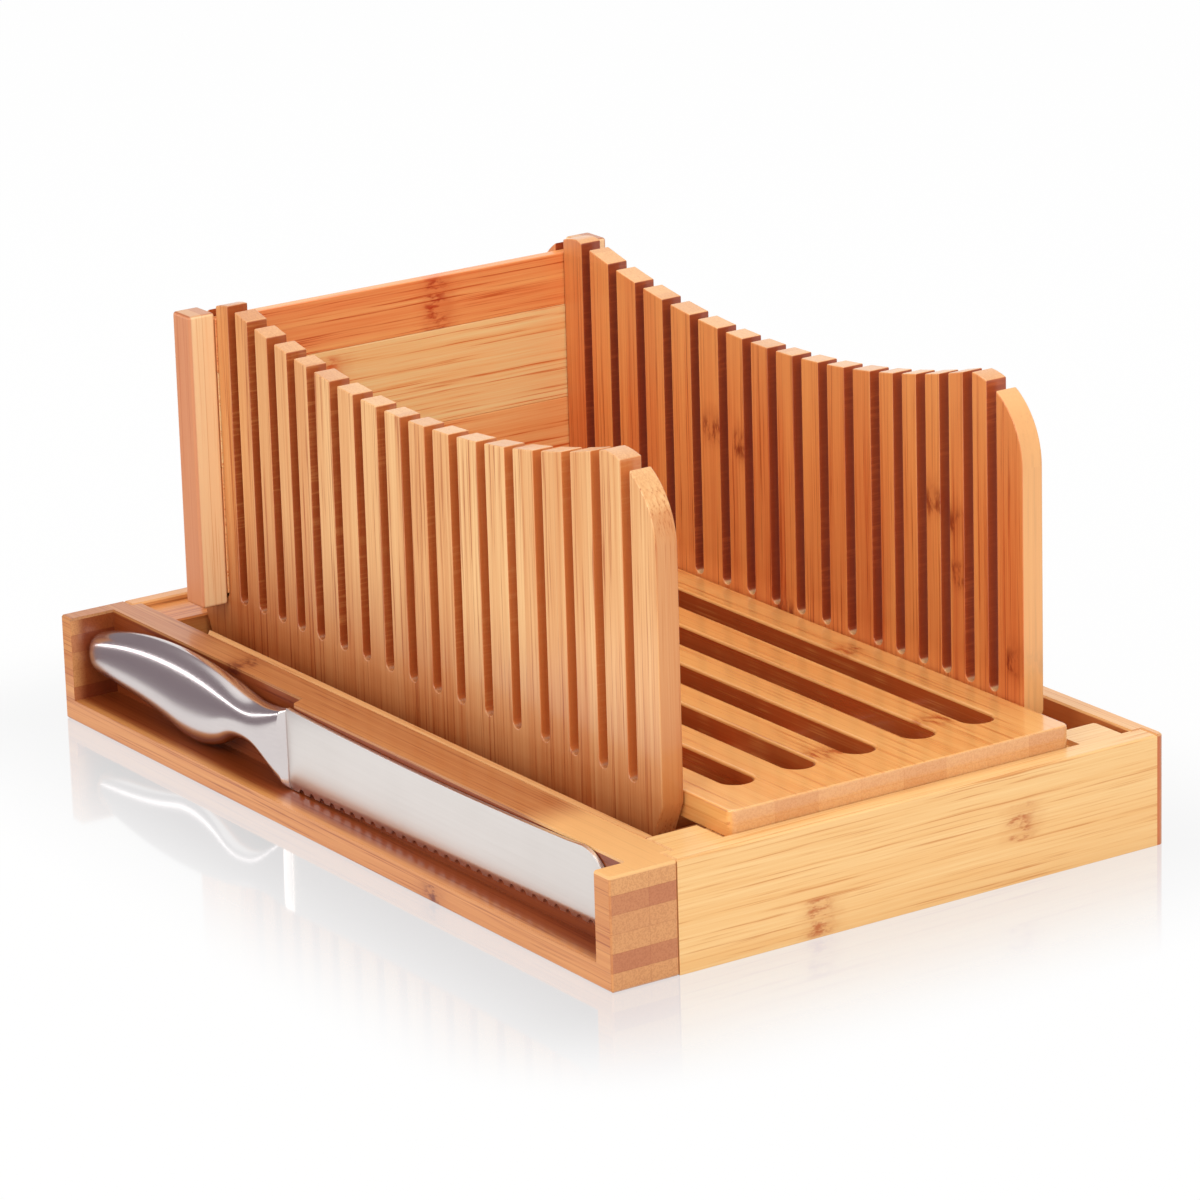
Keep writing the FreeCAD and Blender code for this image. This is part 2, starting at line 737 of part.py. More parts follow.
def make_batten(name, x, side):
    """The upright batten at one end of the back panel, outside the guide."""
    front, rear = tongue_sides()
    out = side + "batten_width"
    groove = side + "tongue_length"
    plan = [
        (out, "0"),
        ("0", "0"),
        ("0", front),
        (groove, front),
        (groove, rear),
        ("0", rear),
        ("0", "batten_thickness"),
        (out, "batten_thickness"),
    ]
    body, batten = board(name, x, PANEL_MIDDLE + " - panel_thickness / 2", PANEL_BOTTOM + " - batten_drop",
                         plan, BATTEN_HEIGHT)
    corners = [upright(out, "0"), upright("0", "0"), upright("0", "batten_thickness"),
               upright(out, "batten_thickness")]
    dress(body, "Fillet", batten, lambda edge: any(test(edge) for test in corners), "batten_round")
    return body


def place_knife(body):
    """Tilt a knife piece about the blade's heel, so that the blade's tip is a little raised."""
    body.Placement.Rotation = Rotation(Vector(-1, 0, 0), 1)
    body.setExpression("Placement.Rotation.Angle", bound("knife_tilt"))


def make_knife_blade():
    """The serrated blade, with a bevelled edge and a tang that goes into the grip."""
    body = new_body("knife_blade", "knife_plane", BLADE_HEEL, "pocket_floor + knife_gap")
    place_knife(body)
    fall = "(heel_height - tip_height)"
    chord = "sqrt(blade_length^2 + " + fall + "^2)"
    spine_radius = "((blade_length^2 + " + fall + "^2) / 4 + spine_sag^2) / (2 * spine_sag)"
    reach = "(" + spine_radius + " - spine_sag)"
    spine_back = "-blade_length / 2 - " + fall + " / " + chord + " * " + reach
    spine_level = "(heel_height + tip_height) / 2 + blade_length / " + chord + " * " + reach
    side = new_sketch(body, "YZ_Plane", "-blade_thickness / 2")
    outline(side, [
        ("-blade_length", "0"),
        ("-blade_length", "tip_height"),
        ("0", "heel_height", spine_back, spine_level, 1),
        ("0", "tang_low + tang_height"),
        ("tang_length", "tang_low + tang_height"),
        ("tang_length", "tang_low"),
        ("0", "tang_low"),
        ("0", "0"),
    ])
    blank = pad(body, side, "blade_thickness")
    corner = Vector(0, value("-blade_length"), value("tip_height"))
    dress(body, "Fillet", blank, lambda edge: edge.BoundBox.XLength > 1 and all(
        math.hypot(v.Point.y - corner.y, v.Point.z - corner.z) < 0.01 for v in edge.Vertexes), "tip_round")
    for side_sign in ("-", ""):
        face = side_sign + "blade_thickness / 2"
        bevel = new_sketch(body, "XZ_Plane")
        ground = face + " - " + side_sign + "(bevel_depth)"
        outline(bevel, [(face, "0"), (ground, "0"), (face, "bevel_height")])
        pocket(body, bevel, "blade_length", along_normal=True)
    notch = new_sketch(body, "YZ_Plane", "-blade_thickness")
    outline(notch, [
        ("-first_serration - serration_width / 2", "0"),
        ("-first_serration - serration_root / 2", "serration_depth"),
        ("-first_serration + serration_root / 2", "serration_depth"),
        ("-first_serration + serration_width / 2", "0"),
    ])
    cut = pocket(body, notch, "2 * blade_thickness", along_normal=True)
    row_of(body, cut, notch, "serrations", "serration_pitch", backwards=True)
    return body


def grip_profile():
    """Trace the grip from the side, as arcs and lines that run smoothly into each other.

    Below lie the neck's slope, the finger hollow, the belly, the palm's hollow and the tail. Above lie the
    palm's swell and the dip behind the bolster.
    """
    hollow_level = "(hollow_top - hollow_radius)"
    drop = "(belly_low - " + hollow_level + ")"
    belly_radius = ("(((belly_back - hollow_back)^2 + " + drop + "^2 - hollow_radius^2)"
                    " / (2 * (hollow_radius - " + drop + ")))")
    belly_level = "(belly_low + " + belly_radius + ")"
    share = "(hollow_radius / (hollow_radius + " + belly_radius + "))"
    palm_back = "(belly_back + (" + belly_radius + " + palm_radius) * sin(belly_slope))"
    palm_level = "(" + belly_level + " - (" + belly_radius + " + palm_radius) * cos(belly_slope))"
    tail_back = "(" + palm_back + " - palm_radius * sin(tail_slope))"
    tail_level = "(" + palm_level + " + palm_radius * cos(tail_slope))"
    dip_level = "(dip_low + dip_radius)"
    fall = "(" + dip_level + " - swell_top)"
    swell_radius = ("(((swell_back - dip_back)^2 + " + fall + "^2 - dip_radius^2)"
                    " / (2 * (dip_radius - " + fall + ")))")
    swell_level = "(swell_top - " + swell_radius + ")"
    top_share = "(dip_radius / (dip_radius + " + swell_radius + "))"
    neck_back = "(hollow_back - hollow_radius * sin(neck_slope))"
    neck_level = "(" + hollow_level + " + hollow_radius * cos(neck_slope))"
    return [
        ("0", neck_level + " - " + neck_back + " * tan(neck_slope)"),
        (neck_back, neck_level),
        ("hollow_back + (belly_back - hollow_back) * " + share,
         hollow_level + " + (" + belly_level + " - " + hollow_level + ") * " + share,
         "hollow_back", hollow_level, -1),
        ("belly_back + " + belly_radius + " * sin(belly_slope)",
         belly_level + " - " + belly_radius + " * cos(belly_slope)",
         "belly_back", belly_level, 1),
        (tail_back, tail_level, palm_back, palm_level, -1),
        ("grip_length", tail_level + " + (grip_length - " + tail_back + ") * tan(tail_slope)"),
        ("grip_length", swell_level + " + sqrt(" + swell_radius + "^2 - (grip_length - swell_back)^2)"),
        ("dip_back + (swell_back - dip_back) * " + top_share,
         dip_level + " + (" + swell_level + " - " + dip_level + ") * " + top_share,
         "swell_back", swell_level, 1),
        ("0", dip_level + " - sqrt(dip_radius^2 - dip_back^2)", "dip_back", dip_level, -1),
    ]


def make_knife_grip():
    """The polished steel grip with its bolster: rounded all along, then waisted towards the blade."""
    body = new_body("knife_grip", "knife_plane", BLADE_HEEL, "pocket_floor + knife_gap")
    place_knife(body)
    side = new_sketch(body, "YZ_Plane", "-grip_width / 2")
    outline(side, grip_profile())
    blank = pad(body, side, "grip_width")
    end = value("grip_length") - 0.01
    butt = dress(body, "Fillet", blank, lambda edge: edge.BoundBox.XLength > 1 and edge.BoundBox.YMin > end,
                 "butt_round")
    dress(body, "Fillet", butt, lambda edge: edge.BoundBox.XLength < 1e-6 and edge.BoundBox.YMax > 0.01,
          "grip_round")
    narrowing = "((grip_width - bolster_width) / 2)"
    run = "(waist_end - bolster_length)"
    waist_radius = "((" + run + "^2 + " + narrowing + "^2) / (2 * " + narrowing + "))"
    for side_sign, turn in (("", 1), ("-", -1)):
        waist = new_sketch(body, "XY_Plane", "swell_top")
        outline(waist, [
            (side_sign + "bolster_face / 2", "0"),
            (side_sign + "bolster_width / 2", "bolster_length"),
            (side_sign + "grip_width / 2", "waist_end",
             side_sign + "(grip_width / 2 - " + waist_radius + ")", "waist_end", turn),
            (side_sign + "grip_width", "waist_end"),
            (side_sign + "grip_width", "0"),
        ])
        pocket(body, waist, "2 * swell_top")
    socket = new_sketch(body, "XZ_Plane")
    rectangle(socket, "-blade_thickness / 2", "tang_low", "blade_thickness / 2", "tang_low + tang_height")
    pocket(body, socket, "tang_length")
    return body


def make_parts():
    """Make every sub-part, in the order in which the slicer goes together."""
    guide_y = "guide_front"
    left_x = "board_left - guide_gap - guide_thickness"
    right_x = "board_left + board_width + guide_gap + guide_thickness"
    parts = [
        make_knife_block(),
        make_knife_magnets(),
        make_front_wall(),
        make_right_wall(),
        make_rear_wall(),
        make_rear_ledge(),
        make_side_rail(),
        make_tray_floor(),
        make_slatted_board(),
        make_cleat_screws(),
        make_guide("left_guide", left_x, guide_y, 0),
        make_guide("right_guide", right_x, guide_y + " + guide_length", 180),
        make_stave("panel_lower_stave", "0", "lower_stave"),
        make_stave("panel_middle_stave", "lower_stave", "middle_stave"),
        make_stave("panel_upper_stave", "lower_stave + middle_stave", "upper_stave", softened=True),
        make_batten("left_batten", PANEL_LEFT, "-"),
        make_batten("right_batten", PANEL_LEFT + " + " + PANEL_LENGTH, ""),
        make_knife_blade(),
        make_knife_grip(),
    ]
    for name, middle in zip(("front_cleat", "rear_cleat"), cleat_middles()):
        parts.append(make_cleat(name, middle))
    return parts


def check_and_export(parts):
    """Stop on any failed object, then write each sub-part to its own file."""
    doc.recompute()
    failed = [o.Label + " " + str(o.State) for o in doc.Objects if "Invalid" in o.State or "Error" in o.State]
    if failed:
        raise RuntimeError("failed objects: " + ", ".join(failed))
    os.makedirs("parts", exist_ok=True)
    for part in parts:
        if part.Shape.isNull() or not part.Shape.isValid() or part.Shape.Volume <= 0:
            raise RuntimeError(part.Label + " has no valid solid")
    for part in parts:
        part.Shape.exportStep(os.path.join("parts", part.Label + ".step"))
        print(part.Label, len(part.Shape.Solids), "solid(s),", round(part.Shape.Volume / 1000, 2), "cm3")


check_and_export(make_parts())
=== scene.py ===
"""Bamboo bread slicer guide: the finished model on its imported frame, with studio light and a camera."""
import logging
import math
from collections.abc import Sequence
from dataclasses import dataclass, field
from enum import Enum
from functools import partialmethod

import bmesh
import bpy
from mathutils import Matrix, Vector


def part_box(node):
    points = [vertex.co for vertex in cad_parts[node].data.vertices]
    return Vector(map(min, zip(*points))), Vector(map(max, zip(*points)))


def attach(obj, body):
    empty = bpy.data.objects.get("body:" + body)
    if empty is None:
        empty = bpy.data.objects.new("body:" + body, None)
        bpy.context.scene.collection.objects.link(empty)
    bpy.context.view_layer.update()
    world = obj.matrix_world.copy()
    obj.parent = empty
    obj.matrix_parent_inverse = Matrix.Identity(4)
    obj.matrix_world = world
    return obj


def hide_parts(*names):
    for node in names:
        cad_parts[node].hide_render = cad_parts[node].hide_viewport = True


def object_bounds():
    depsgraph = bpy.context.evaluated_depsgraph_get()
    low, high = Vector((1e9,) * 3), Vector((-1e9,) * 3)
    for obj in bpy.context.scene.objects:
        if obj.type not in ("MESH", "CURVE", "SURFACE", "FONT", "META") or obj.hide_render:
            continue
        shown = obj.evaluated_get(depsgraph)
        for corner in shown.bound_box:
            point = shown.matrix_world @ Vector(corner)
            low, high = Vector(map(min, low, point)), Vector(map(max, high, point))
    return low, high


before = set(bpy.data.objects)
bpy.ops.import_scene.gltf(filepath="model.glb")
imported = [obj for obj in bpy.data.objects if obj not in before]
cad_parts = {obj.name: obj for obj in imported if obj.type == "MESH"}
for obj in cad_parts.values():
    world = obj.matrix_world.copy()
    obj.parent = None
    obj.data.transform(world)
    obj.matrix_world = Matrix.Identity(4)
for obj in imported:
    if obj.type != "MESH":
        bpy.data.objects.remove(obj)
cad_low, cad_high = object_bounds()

log = logging.getLogger("bread_slicer_guide")

MM = 0.001
FAR = 1.0  # metres, past every side of the slicer
WELD = 1e-6  # metres, between points that are one
WHITE = (1.0, 1.0, 1.0, 1.0)
Corner = tuple[float, float]
Box = tuple[Vector, Vector]


class Axis(Enum):
    """A direction of the row frame, as a component number."""

    X = 0
    Y = 1
    Z = 2


class Sawn(Enum):
    """Which cuts of a piece have darker walls: the cut wood's own tone with painted shade inside the cuts."""

    NONE = 0
    SAW_SLOTS = 1
    CRUMB_SLOTS = 2


def tone(code: str) -> tuple[float, float, float, float]:
    """Turn a screen colour into the linear colour that shaders take.

    Args:
        code: A colour such as "c8844a".

    Returns:
        Linear red, green, blue and an alpha of 1.
    """
    channels = [int(code[i:i + 2], 16) / 255 for i in (0, 2, 4)]
    linear = [c / 12.92 if c <= 0.04045 else ((c + 0.055) / 1.055) ** 2.4 for c in channels]
    return (linear[0], linear[1], linear[2], 1.0)


def bow(radius: float, off: float) -> float:
    """Give how far an arc of a radius stands above its centre, at a distance to the side of it."""
    return math.sqrt(max(radius ** 2 - off ** 2, 0.0))


class Wire:
    """A value that runs from one node to others, and takes the usual signs of arithmetic."""

    def __init__(self, bench: "NodeBench", socket: bpy.types.NodeSocket) -> None:
        """Keep the bench and the socket that the value comes from."""
        self.bench = bench
        self.socket = socket

    def reckon(self, operation: str, *others: object) -> "Wire":
        """Work a value out from this one and others with a Math node."""
        return self.bench.math(operation, self, *others)

    __add__ = partialmethod(reckon, "ADD")
    __sub__ = partialmethod(reckon, "SUBTRACT")
    __mul__ = partialmethod(reckon, "MULTIPLY")
    __truediv__ = partialmethod(reckon, "DIVIDE")
    __gt__ = partialmethod(reckon, "GREATER_THAN")
    __lt__ = partialmethod(reckon, "LESS_THAN")
    __abs__ = partialmethod(reckon, "ABSOLUTE")

    def held(self) -> "Wire":
        """Hold the value between 0 and 1."""
        self.socket.node.use_clamp = True
        return self


class NodeBench:
    """Adds and joins the nodes of one material, or of the sky."""

    def __init__(self, owner: bpy.types.Material | bpy.types.World) -> None:
        """Start with an empty node tree.

        Args:
            owner: The material or world to build.
        """
        self.owner = owner
        owner.use_nodes = True
        self.nodes, self.links = owner.node_tree.nodes, owner.node_tree.links
        self.nodes.clear()

    def feed(self, socket: bpy.types.NodeSocket, source: object) -> None:
        """Give a socket a link from a wire, a node or a socket, or a plain value such as a colour's code.

        Args:
            socket: The socket to feed.
            source: What goes into it.
        """
        if isinstance(source, Wire):
            source = source.socket
        elif isinstance(source, bpy.types.Node):
            source = source.outputs[0]
        if isinstance(source, bpy.types.NodeSocket):
            self.links.new(source, socket)
        else:
            socket.default_value = tone(source) if isinstance(source, str) else source

    def add(self, kind: str, inputs: dict[str, object] | None = None, **values: object) -> bpy.types.Node:
        """Add a node.

        Args:
            kind: The node's Blender class without its ShaderNode prefix.
            inputs: What goes into its sockets, by their names.
            values: Properties to set.

        Returns:
            The node.
        """
        node = self.nodes.new("ShaderNode" + kind)
        for name, value in values.items():
            setattr(node, name, value)
        for name, source in (inputs or {}).items():
            self.feed(node.inputs[name], source)
        return node

    def join(self, kind: str, *sources: object, **values: object) -> Wire:
        """Add a node, feed its first sockets in order and return its first output.

        Args:
            kind: The node's Blender class without its ShaderNode prefix.
            sources: What goes into its sockets.
            values: Properties to set.

        Returns:
            The output's wire.
        """
        node = self.add(kind, **values)
        for socket, source in zip(node.inputs, sources):
            self.feed(socket, source)
        return Wire(self, node.outputs[0])

    def math(self, operation: str, *sources: object) -> Wire:
        """Add a Math node."""
        return self.join("Math", *sources, operation=operation)

    def split(self, source: bpy.types.NodeSocket) -> list[Wire]:
        """Split a vector into its three components."""
        node = self.add("SeparateXYZ", {"Vector": source})
        return [Wire(self, output) for output in node.outputs]

    def noise(self, place: Sequence[object], detail: float, roughness: float = 0.55,
              scale: float = 1.0) -> Wire:
        """Add a noise texture at three coordinates and return its value, which lies about 0.5.

        Args:
            place: The three coordinates.
            detail: How many finer noises are laid over it.
            roughness: How strong they are.
            scale: How finely it varies.

        Returns:
            A value about 0.5.
        """
        return Wire(self, self.add("TexNoise", {
            "Vector": self.join("CombineXYZ", *place), "Scale": scale, "Detail": detail,
            "Roughness": roughness}).outputs["Fac"])

    def steps(self, value: object, low: float, high: float, to_low: float = 0.0,
              to_high: float = 1.0) -> Wire:
        """Map a value smoothly from one range to another, and hold it at the ends."""
        return self.join("MapRange", value, low, high, to_low, to_high,
                         interpolation_type="SMOOTHSTEP", clamp=True)

    def stretched(self, places: list[Wire], scales: Sequence[float], detail: float) -> Wire:
        """Add a noise with its own scale along each axis."""
        return self.noise([place * scale for place, scale in zip(places, scales)], detail)

    def within(self, share: Wire, places: list[Wire], corners: Box) -> Wire:
        """Keep a share between two corners, and make it 0 outside.

        Args:
            share: The share.
            places: The three coordinates.
            corners: The two corners.

        Returns:
            The share, or 0.
        """
        for place, low, high in zip(places, *corners):
            share = share * (place > low) * (place < high)
        return share

    def blend(self, factor: object, first: object, second: object, mode: str = "MIX") -> Wire:
        """Mix two colours.

        Args:
            factor: How much of the second, a wire or a number.
            first: A colour's code or wire.
            second: A colour's code or wire.
            mode: The mix node's blend type.

        Returns:
            The colour's wire.
        """
        node = self.add("Mix", data_type="RGBA", blend_type=mode, clamp_factor=True)
        for number, source in ((0, factor), (6, first), (7, second)):
            self.feed(node.inputs[number], source)
        return Wire(self, node.outputs[2])

    def bump(self, height: Wire, strength: float, distance: float) -> bpy.types.Node:
        """Turn a height into the direction of a bumped surface."""
        return self.add("Bump", {"Strength": strength, "Distance": distance, "Height": height})

    def finish(self, shader: object, output: str = "OutputMaterial") -> bpy.types.Material | bpy.types.World:
        """Put a shader on the output and return what was built."""
        self.add(output, {"Surface": shader})
        return self.owner


@dataclass(frozen=True)
class Weave:
    """How finely a noise varies across the grain and along it, in turns per metre, and how rough it is."""

    across: float
    along: float
    detail: float
    roughness: float

    def lay(self, bench: NodeBench, side: Wire, deep: Wire, along: Wire, shift: object = 0.0) -> Wire:
        """Lay the noise out in a piece, with a shift that sets each strip apart."""
        place = (side * self.across, deep * self.across + shift, along * self.along)
        return bench.noise(place, self.detail, self.roughness)


FIBRES = Weave(1000.0, 12.0, 3.0, 0.68)
BANDS = Weave(260.0, 5.0, 2.0, 0.5)
MOTTLE = Weave(330.0, 130.0, 3.0, 0.65)
DOTS = 1700.0  # of the end grain, per metre
TICKS = (90.0, 9.0, 900.0)  # a saw's marks on the walls of cuts, per metre along each axis
PATCHES = (0.0, 60.0, 22.0)  # where the marks gather
DARK_ROW_EVERY = 3.0


@dataclass(frozen=True)
class Drift:
    """A slow change of tone along one axis, none at the start and all of it at the end; some are the timber's
    own tone, some painted light and shade.

    With corners given, it keeps to the box between them.
    """

    axis: Axis
    start: float
    end: float
    tint: str
    amount: float
    mode: str = "MIX"
    corners: Box | None = None


@dataclass
class Timber:
    """The wires that the steps of one bamboo material share."""

    bench: NodeBench
    places: list[Wire]
    facing: list[Wire]
    along: Wire
    side: Wire
    lots: list[Wire]
    mottle: Wire


@dataclass(frozen=True)
class Bamboo:
    """Lacquered bamboo, laid up from strips.

    Each strip runs along the grain with its own tone. Fine fibres run along it, dots show on its end grain,
    and a darker mottled node crosses it here and there. The marks are nodes at chosen places: along the
    grain and across it, in the row frame.
    """

    name: str
    slot: str
    grain: Axis
    across: Axis
    strip: float
    layer: float
    pale: str
    warm: str
    fibre: str
    end_grain: str
    end_dark: str = "b56f49"
    start: float = 0.0
    layer_start: float = 0.0
    seed: float = 1.0
    tone_spread: float = 0.35
    streaks: float = 0.5
    broad_streaks: float = 0.35
    node_gap: float = 0.24
    node_share: float = 0.0
    marks: tuple[Corner, ...] = ()
    mark_width: float = 19 * MM
    node_halo: float = 12 * MM
    node_ring: float = 6.5 * MM
    drifts: tuple[Drift, ...] = ()
    seam: float = 0.35
    seam_width: float = 0.22 * MM
    seam_core: float = 0.06 * MM
    gloss: float = 0.32
    coat: float = 0.25
    coat_roughness: float = 0.16
    relief: float = 0.06 * MM
    sawn_and_shaded: Sawn = Sawn.NONE
    sawn_and_shaded_tone: str = "b5622f"
    sawn_and_shaded_rear: str = "a04a20"

    def make(self) -> bpy.types.Material:
        """Build the material.

        Returns:
            The bamboo material.
        """
        bench = NodeBench(bpy.data.materials.new(self.name))
        coordinates = bench.add("TexCoord")
        places = bench.split(coordinates.outputs["Object"])
        facing = bench.split(coordinates.outputs["Normal"])
        third = next(axis for axis in Axis if axis not in (self.grain, self.across))
        along, side, deep = (places[axis.value] for axis in (self.grain, self.across, third))
        # the strips, each with three random lots
        strips = (side - self.start) / self.strip
        layers = (deep - self.layer_start) / self.layer
        strip_number = bench.math("FLOOR", strips)
        place = bench.join("CombineXYZ", strip_number, bench.math("FLOOR", layers), self.seed)
        lot = bench.add("TexWhiteNoise", {"Vector": place}, noise_dimensions="3D")
        lots = bench.split(lot.outputs["Color"])

        # fine fibres and broad bands along the grain, then the nodes
        wander = bench.noise((along * 7.0, side, deep), 1.0, scale=3.0)
        wavy = (wander - 0.5) * (0.7 * MM) + side
        shift = lots[0] * 3.7
        fibres = FIBRES.lay(bench, wavy, deep, along, shift)
        level = (lots[1] - 0.5) * self.tone_spread + 0.5
        level = (BANDS.lay(bench, wavy, deep, along, shift) - 0.5) * (2.2 * self.broad_streaks) + level
        level = ((fibres - 0.5) * (2.6 * self.streaks) + level).held()
        colour = bench.blend(level, self.pale, self.warm)
        lines = (bench.steps(fibres, 0.55, 0.68) * (1.3 * self.streaks)).held()
        colour = bench.blend(lines, colour, self.fibre)
        wood = Timber(bench, places, facing, along, side, lots, MOTTLE.lay(bench, side, deep, along))
        colour = self.grow_nodes(wood, colour)

        # glue lines, left out on faces that lie along them
        seams = []
        for rows, width, axis in ((strips, self.strip, self.across), (layers, self.layer, third)):
            crossed = bench.steps(abs(facing[axis.value]), 0.9, 0.6)
            seams.append(crossed * bench.steps(abs(bench.math("FRACT", rows) - 0.5),
                                               0.5 - self.seam_width / width, 0.5 - self.seam_core / width))
        seam = bench.math("MAXIMUM", *seams)
        colour = bench.blend(seam * self.seam, colour, self.fibre)

        # end grain, with darker rows and dots
        ends = bench.steps(abs(facing[self.grain.value]), 0.55, 0.85)
        dots = bench.steps(bench.noise((side * DOTS, deep * DOTS, 0.5), 1.0), 0.42, 0.62)
        dark_row = bench.math("COMPARE", bench.math("FLOORED_MODULO", strip_number, DARK_ROW_EVERY), 1.0, 0.1)
        shade = (lots[2] * 0.3 + dark_row * 0.7).held()
        cut = bench.blend(shade, self.end_grain, self.end_dark)
        cut = bench.blend(dots * 0.22, cut, self.fibre)
        cut = bench.blend(seam * (0.6 * self.seam), cut, self.fibre)
        colour = bench.blend(ends, colour, cut)

        for drift in self.drifts:
            share = bench.steps(places[drift.axis.value], drift.start, drift.end)
            if drift.corners:
                share = bench.within(share, places, drift.corners)
            colour = bench.blend(share * drift.amount, colour, drift.tint, drift.mode)
        if self.sawn_and_shaded is not Sawn.NONE:
            colour = self.tint_slots(wood, colour)
        return bench.finish(bench.add("BsdfPrincipled", {
            "Base Color": colour, "Roughness": fibres * 0.18 + (self.gloss - 0.06), "Coat Weight": self.coat,
            "Coat Roughness": self.coat_roughness, "Specular IOR Level": 0.4,
            "Normal": bench.bump(fibres - seam * 0.6, 0.35, self.relief)}))

    def grow_nodes(self, wood: Timber, colour: Wire) -> Wire:
        """Cross the strips with darker nodes, at a steady spacing or at the chosen marks.

        Args:
            wood: The material's shared wires.
            colour: The colour so far.

        Returns:
            The colour with the nodes.
        """
        bench, uneven = wood.bench, wood.mottle - 0.5
        rings: list[tuple[Wire, Wire]] = []
        if self.node_share > 0:
            place = uneven * 0.05 + (wood.along / self.node_gap + wood.lots[2] * 0.9)
            off = abs(bench.math("FRACT", place) - 0.5) * self.node_gap
            rings.append((off, wood.lots[0] < self.node_share))
        for mark_along, mark_across in self.marks:
            off = abs(uneven * (12 * MM) + wood.along - mark_along)
            beside = abs(wood.side - mark_across)
            rings.append((off, bench.steps(beside, self.mark_width / 2, 0.36 * self.mark_width)))
        for off, present in rings:
            halo = bench.steps(off, self.node_halo, 2 * MM) * present
            ring = bench.steps(off, self.node_ring, 1 * MM) * bench.steps(wood.mottle, 0.42, 0.62)
            colour = bench.blend(halo * 0.3, colour, self.fibre)
            colour = bench.blend(ring * present * 0.85, colour, self.fibre, "MULTIPLY")
        return colour

    def tint_slots(self, wood: Timber, colour: Wire) -> Wire:
        """Give the walls of the cuts their darker, cross-marked tone: partly the cut wood's own tone and saw
        marks, partly painted shade inside the cuts.

        Args:
            wood: The material's shared wires.
            colour: The colour so far.

        Returns:
            The colour with darker walls.
        """
        bench = wood.bench
        turned = abs(wood.facing[Axis.Y.value])
        if self.sawn_and_shaded is Sawn.SAW_SLOTS:
            low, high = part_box("left_guide")
            corners = (Vector((-FAR, low.y + 12 * MM, low.z + 20 * MM)), Vector((FAR, high.y - 12 * MM, FAR)))
        else:
            low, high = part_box("slatted_board")
            turned = bench.math("MAXIMUM", turned, abs(wood.facing[Axis.X.value]))
            corners = (low + Vector((8 * MM, 8 * MM, -FAR)), high - Vector((8 * MM, 8 * MM, 1 * MM)))
        # painted shade inside the cuts, laid over the cut wood's own tone
        wall = bench.within(bench.steps(turned, 0.6, 0.9), wood.places, corners)
        marks = (bench.steps(bench.stretched(wood.places, TICKS, 2.0), 0.45, 0.7)
                 * bench.steps(bench.stretched(wood.places, PATCHES, 1.0), 0.45, 0.7, 0.12, 0.6))
        run = high.y - low.y
        # darker towards the rear
        toward_rear = bench.steps(wood.places[Axis.Y.value], low.y + 0.15 * run, low.y + 0.8 * run)
        sawn_and_shaded = bench.blend(toward_rear, self.sawn_and_shaded_tone, self.sawn_and_shaded_rear)
        sawn_and_shaded = bench.blend(marks, sawn_and_shaded, self.warm)
        return bench.blend(wall * 0.92, colour, sawn_and_shaded)


@dataclass(frozen=True)
class BrushedSteel:
    """Steel with fine brush lines, and a tone that drifts a little."""

    name: str
    slot: str
    bright: str
    dull: str
    brushed: Axis
    lines: float = 2600.0
    line_run: float = 18.0
    cloud: float = 38.0
    roughness: float = 0.26
    anisotropy: float = 0.5
    relief: float = 0.004 * MM

    def make(self) -> bpy.types.Material:
        """Build the material.

        Returns:
            The steel material.
        """
        bench = NodeBench(bpy.data.materials.new(self.name))
        places = bench.split(bench.add("TexCoord").outputs["Object"])
        stretched = [place * (self.line_run if axis is self.brushed else self.lines)
                     for axis, place in zip(Axis, places)]
        grain = bench.noise(stretched, 3.0, 0.6)
        level = (grain * 0.45 + bench.noise(places, 2.0, scale=self.cloud) * 0.5).held()
        return bench.finish(bench.add("BsdfPrincipled", {
            "Base Color": bench.blend(level, self.bright, self.dull), "Metallic": 1.0,
            "Roughness": grain * 0.08 + (self.roughness - 0.04), "Anisotropic": self.anisotropy,
            "Normal": bench.bump(grain, 0.2, self.relief)}))


Finish = Bamboo | BrushedSteel


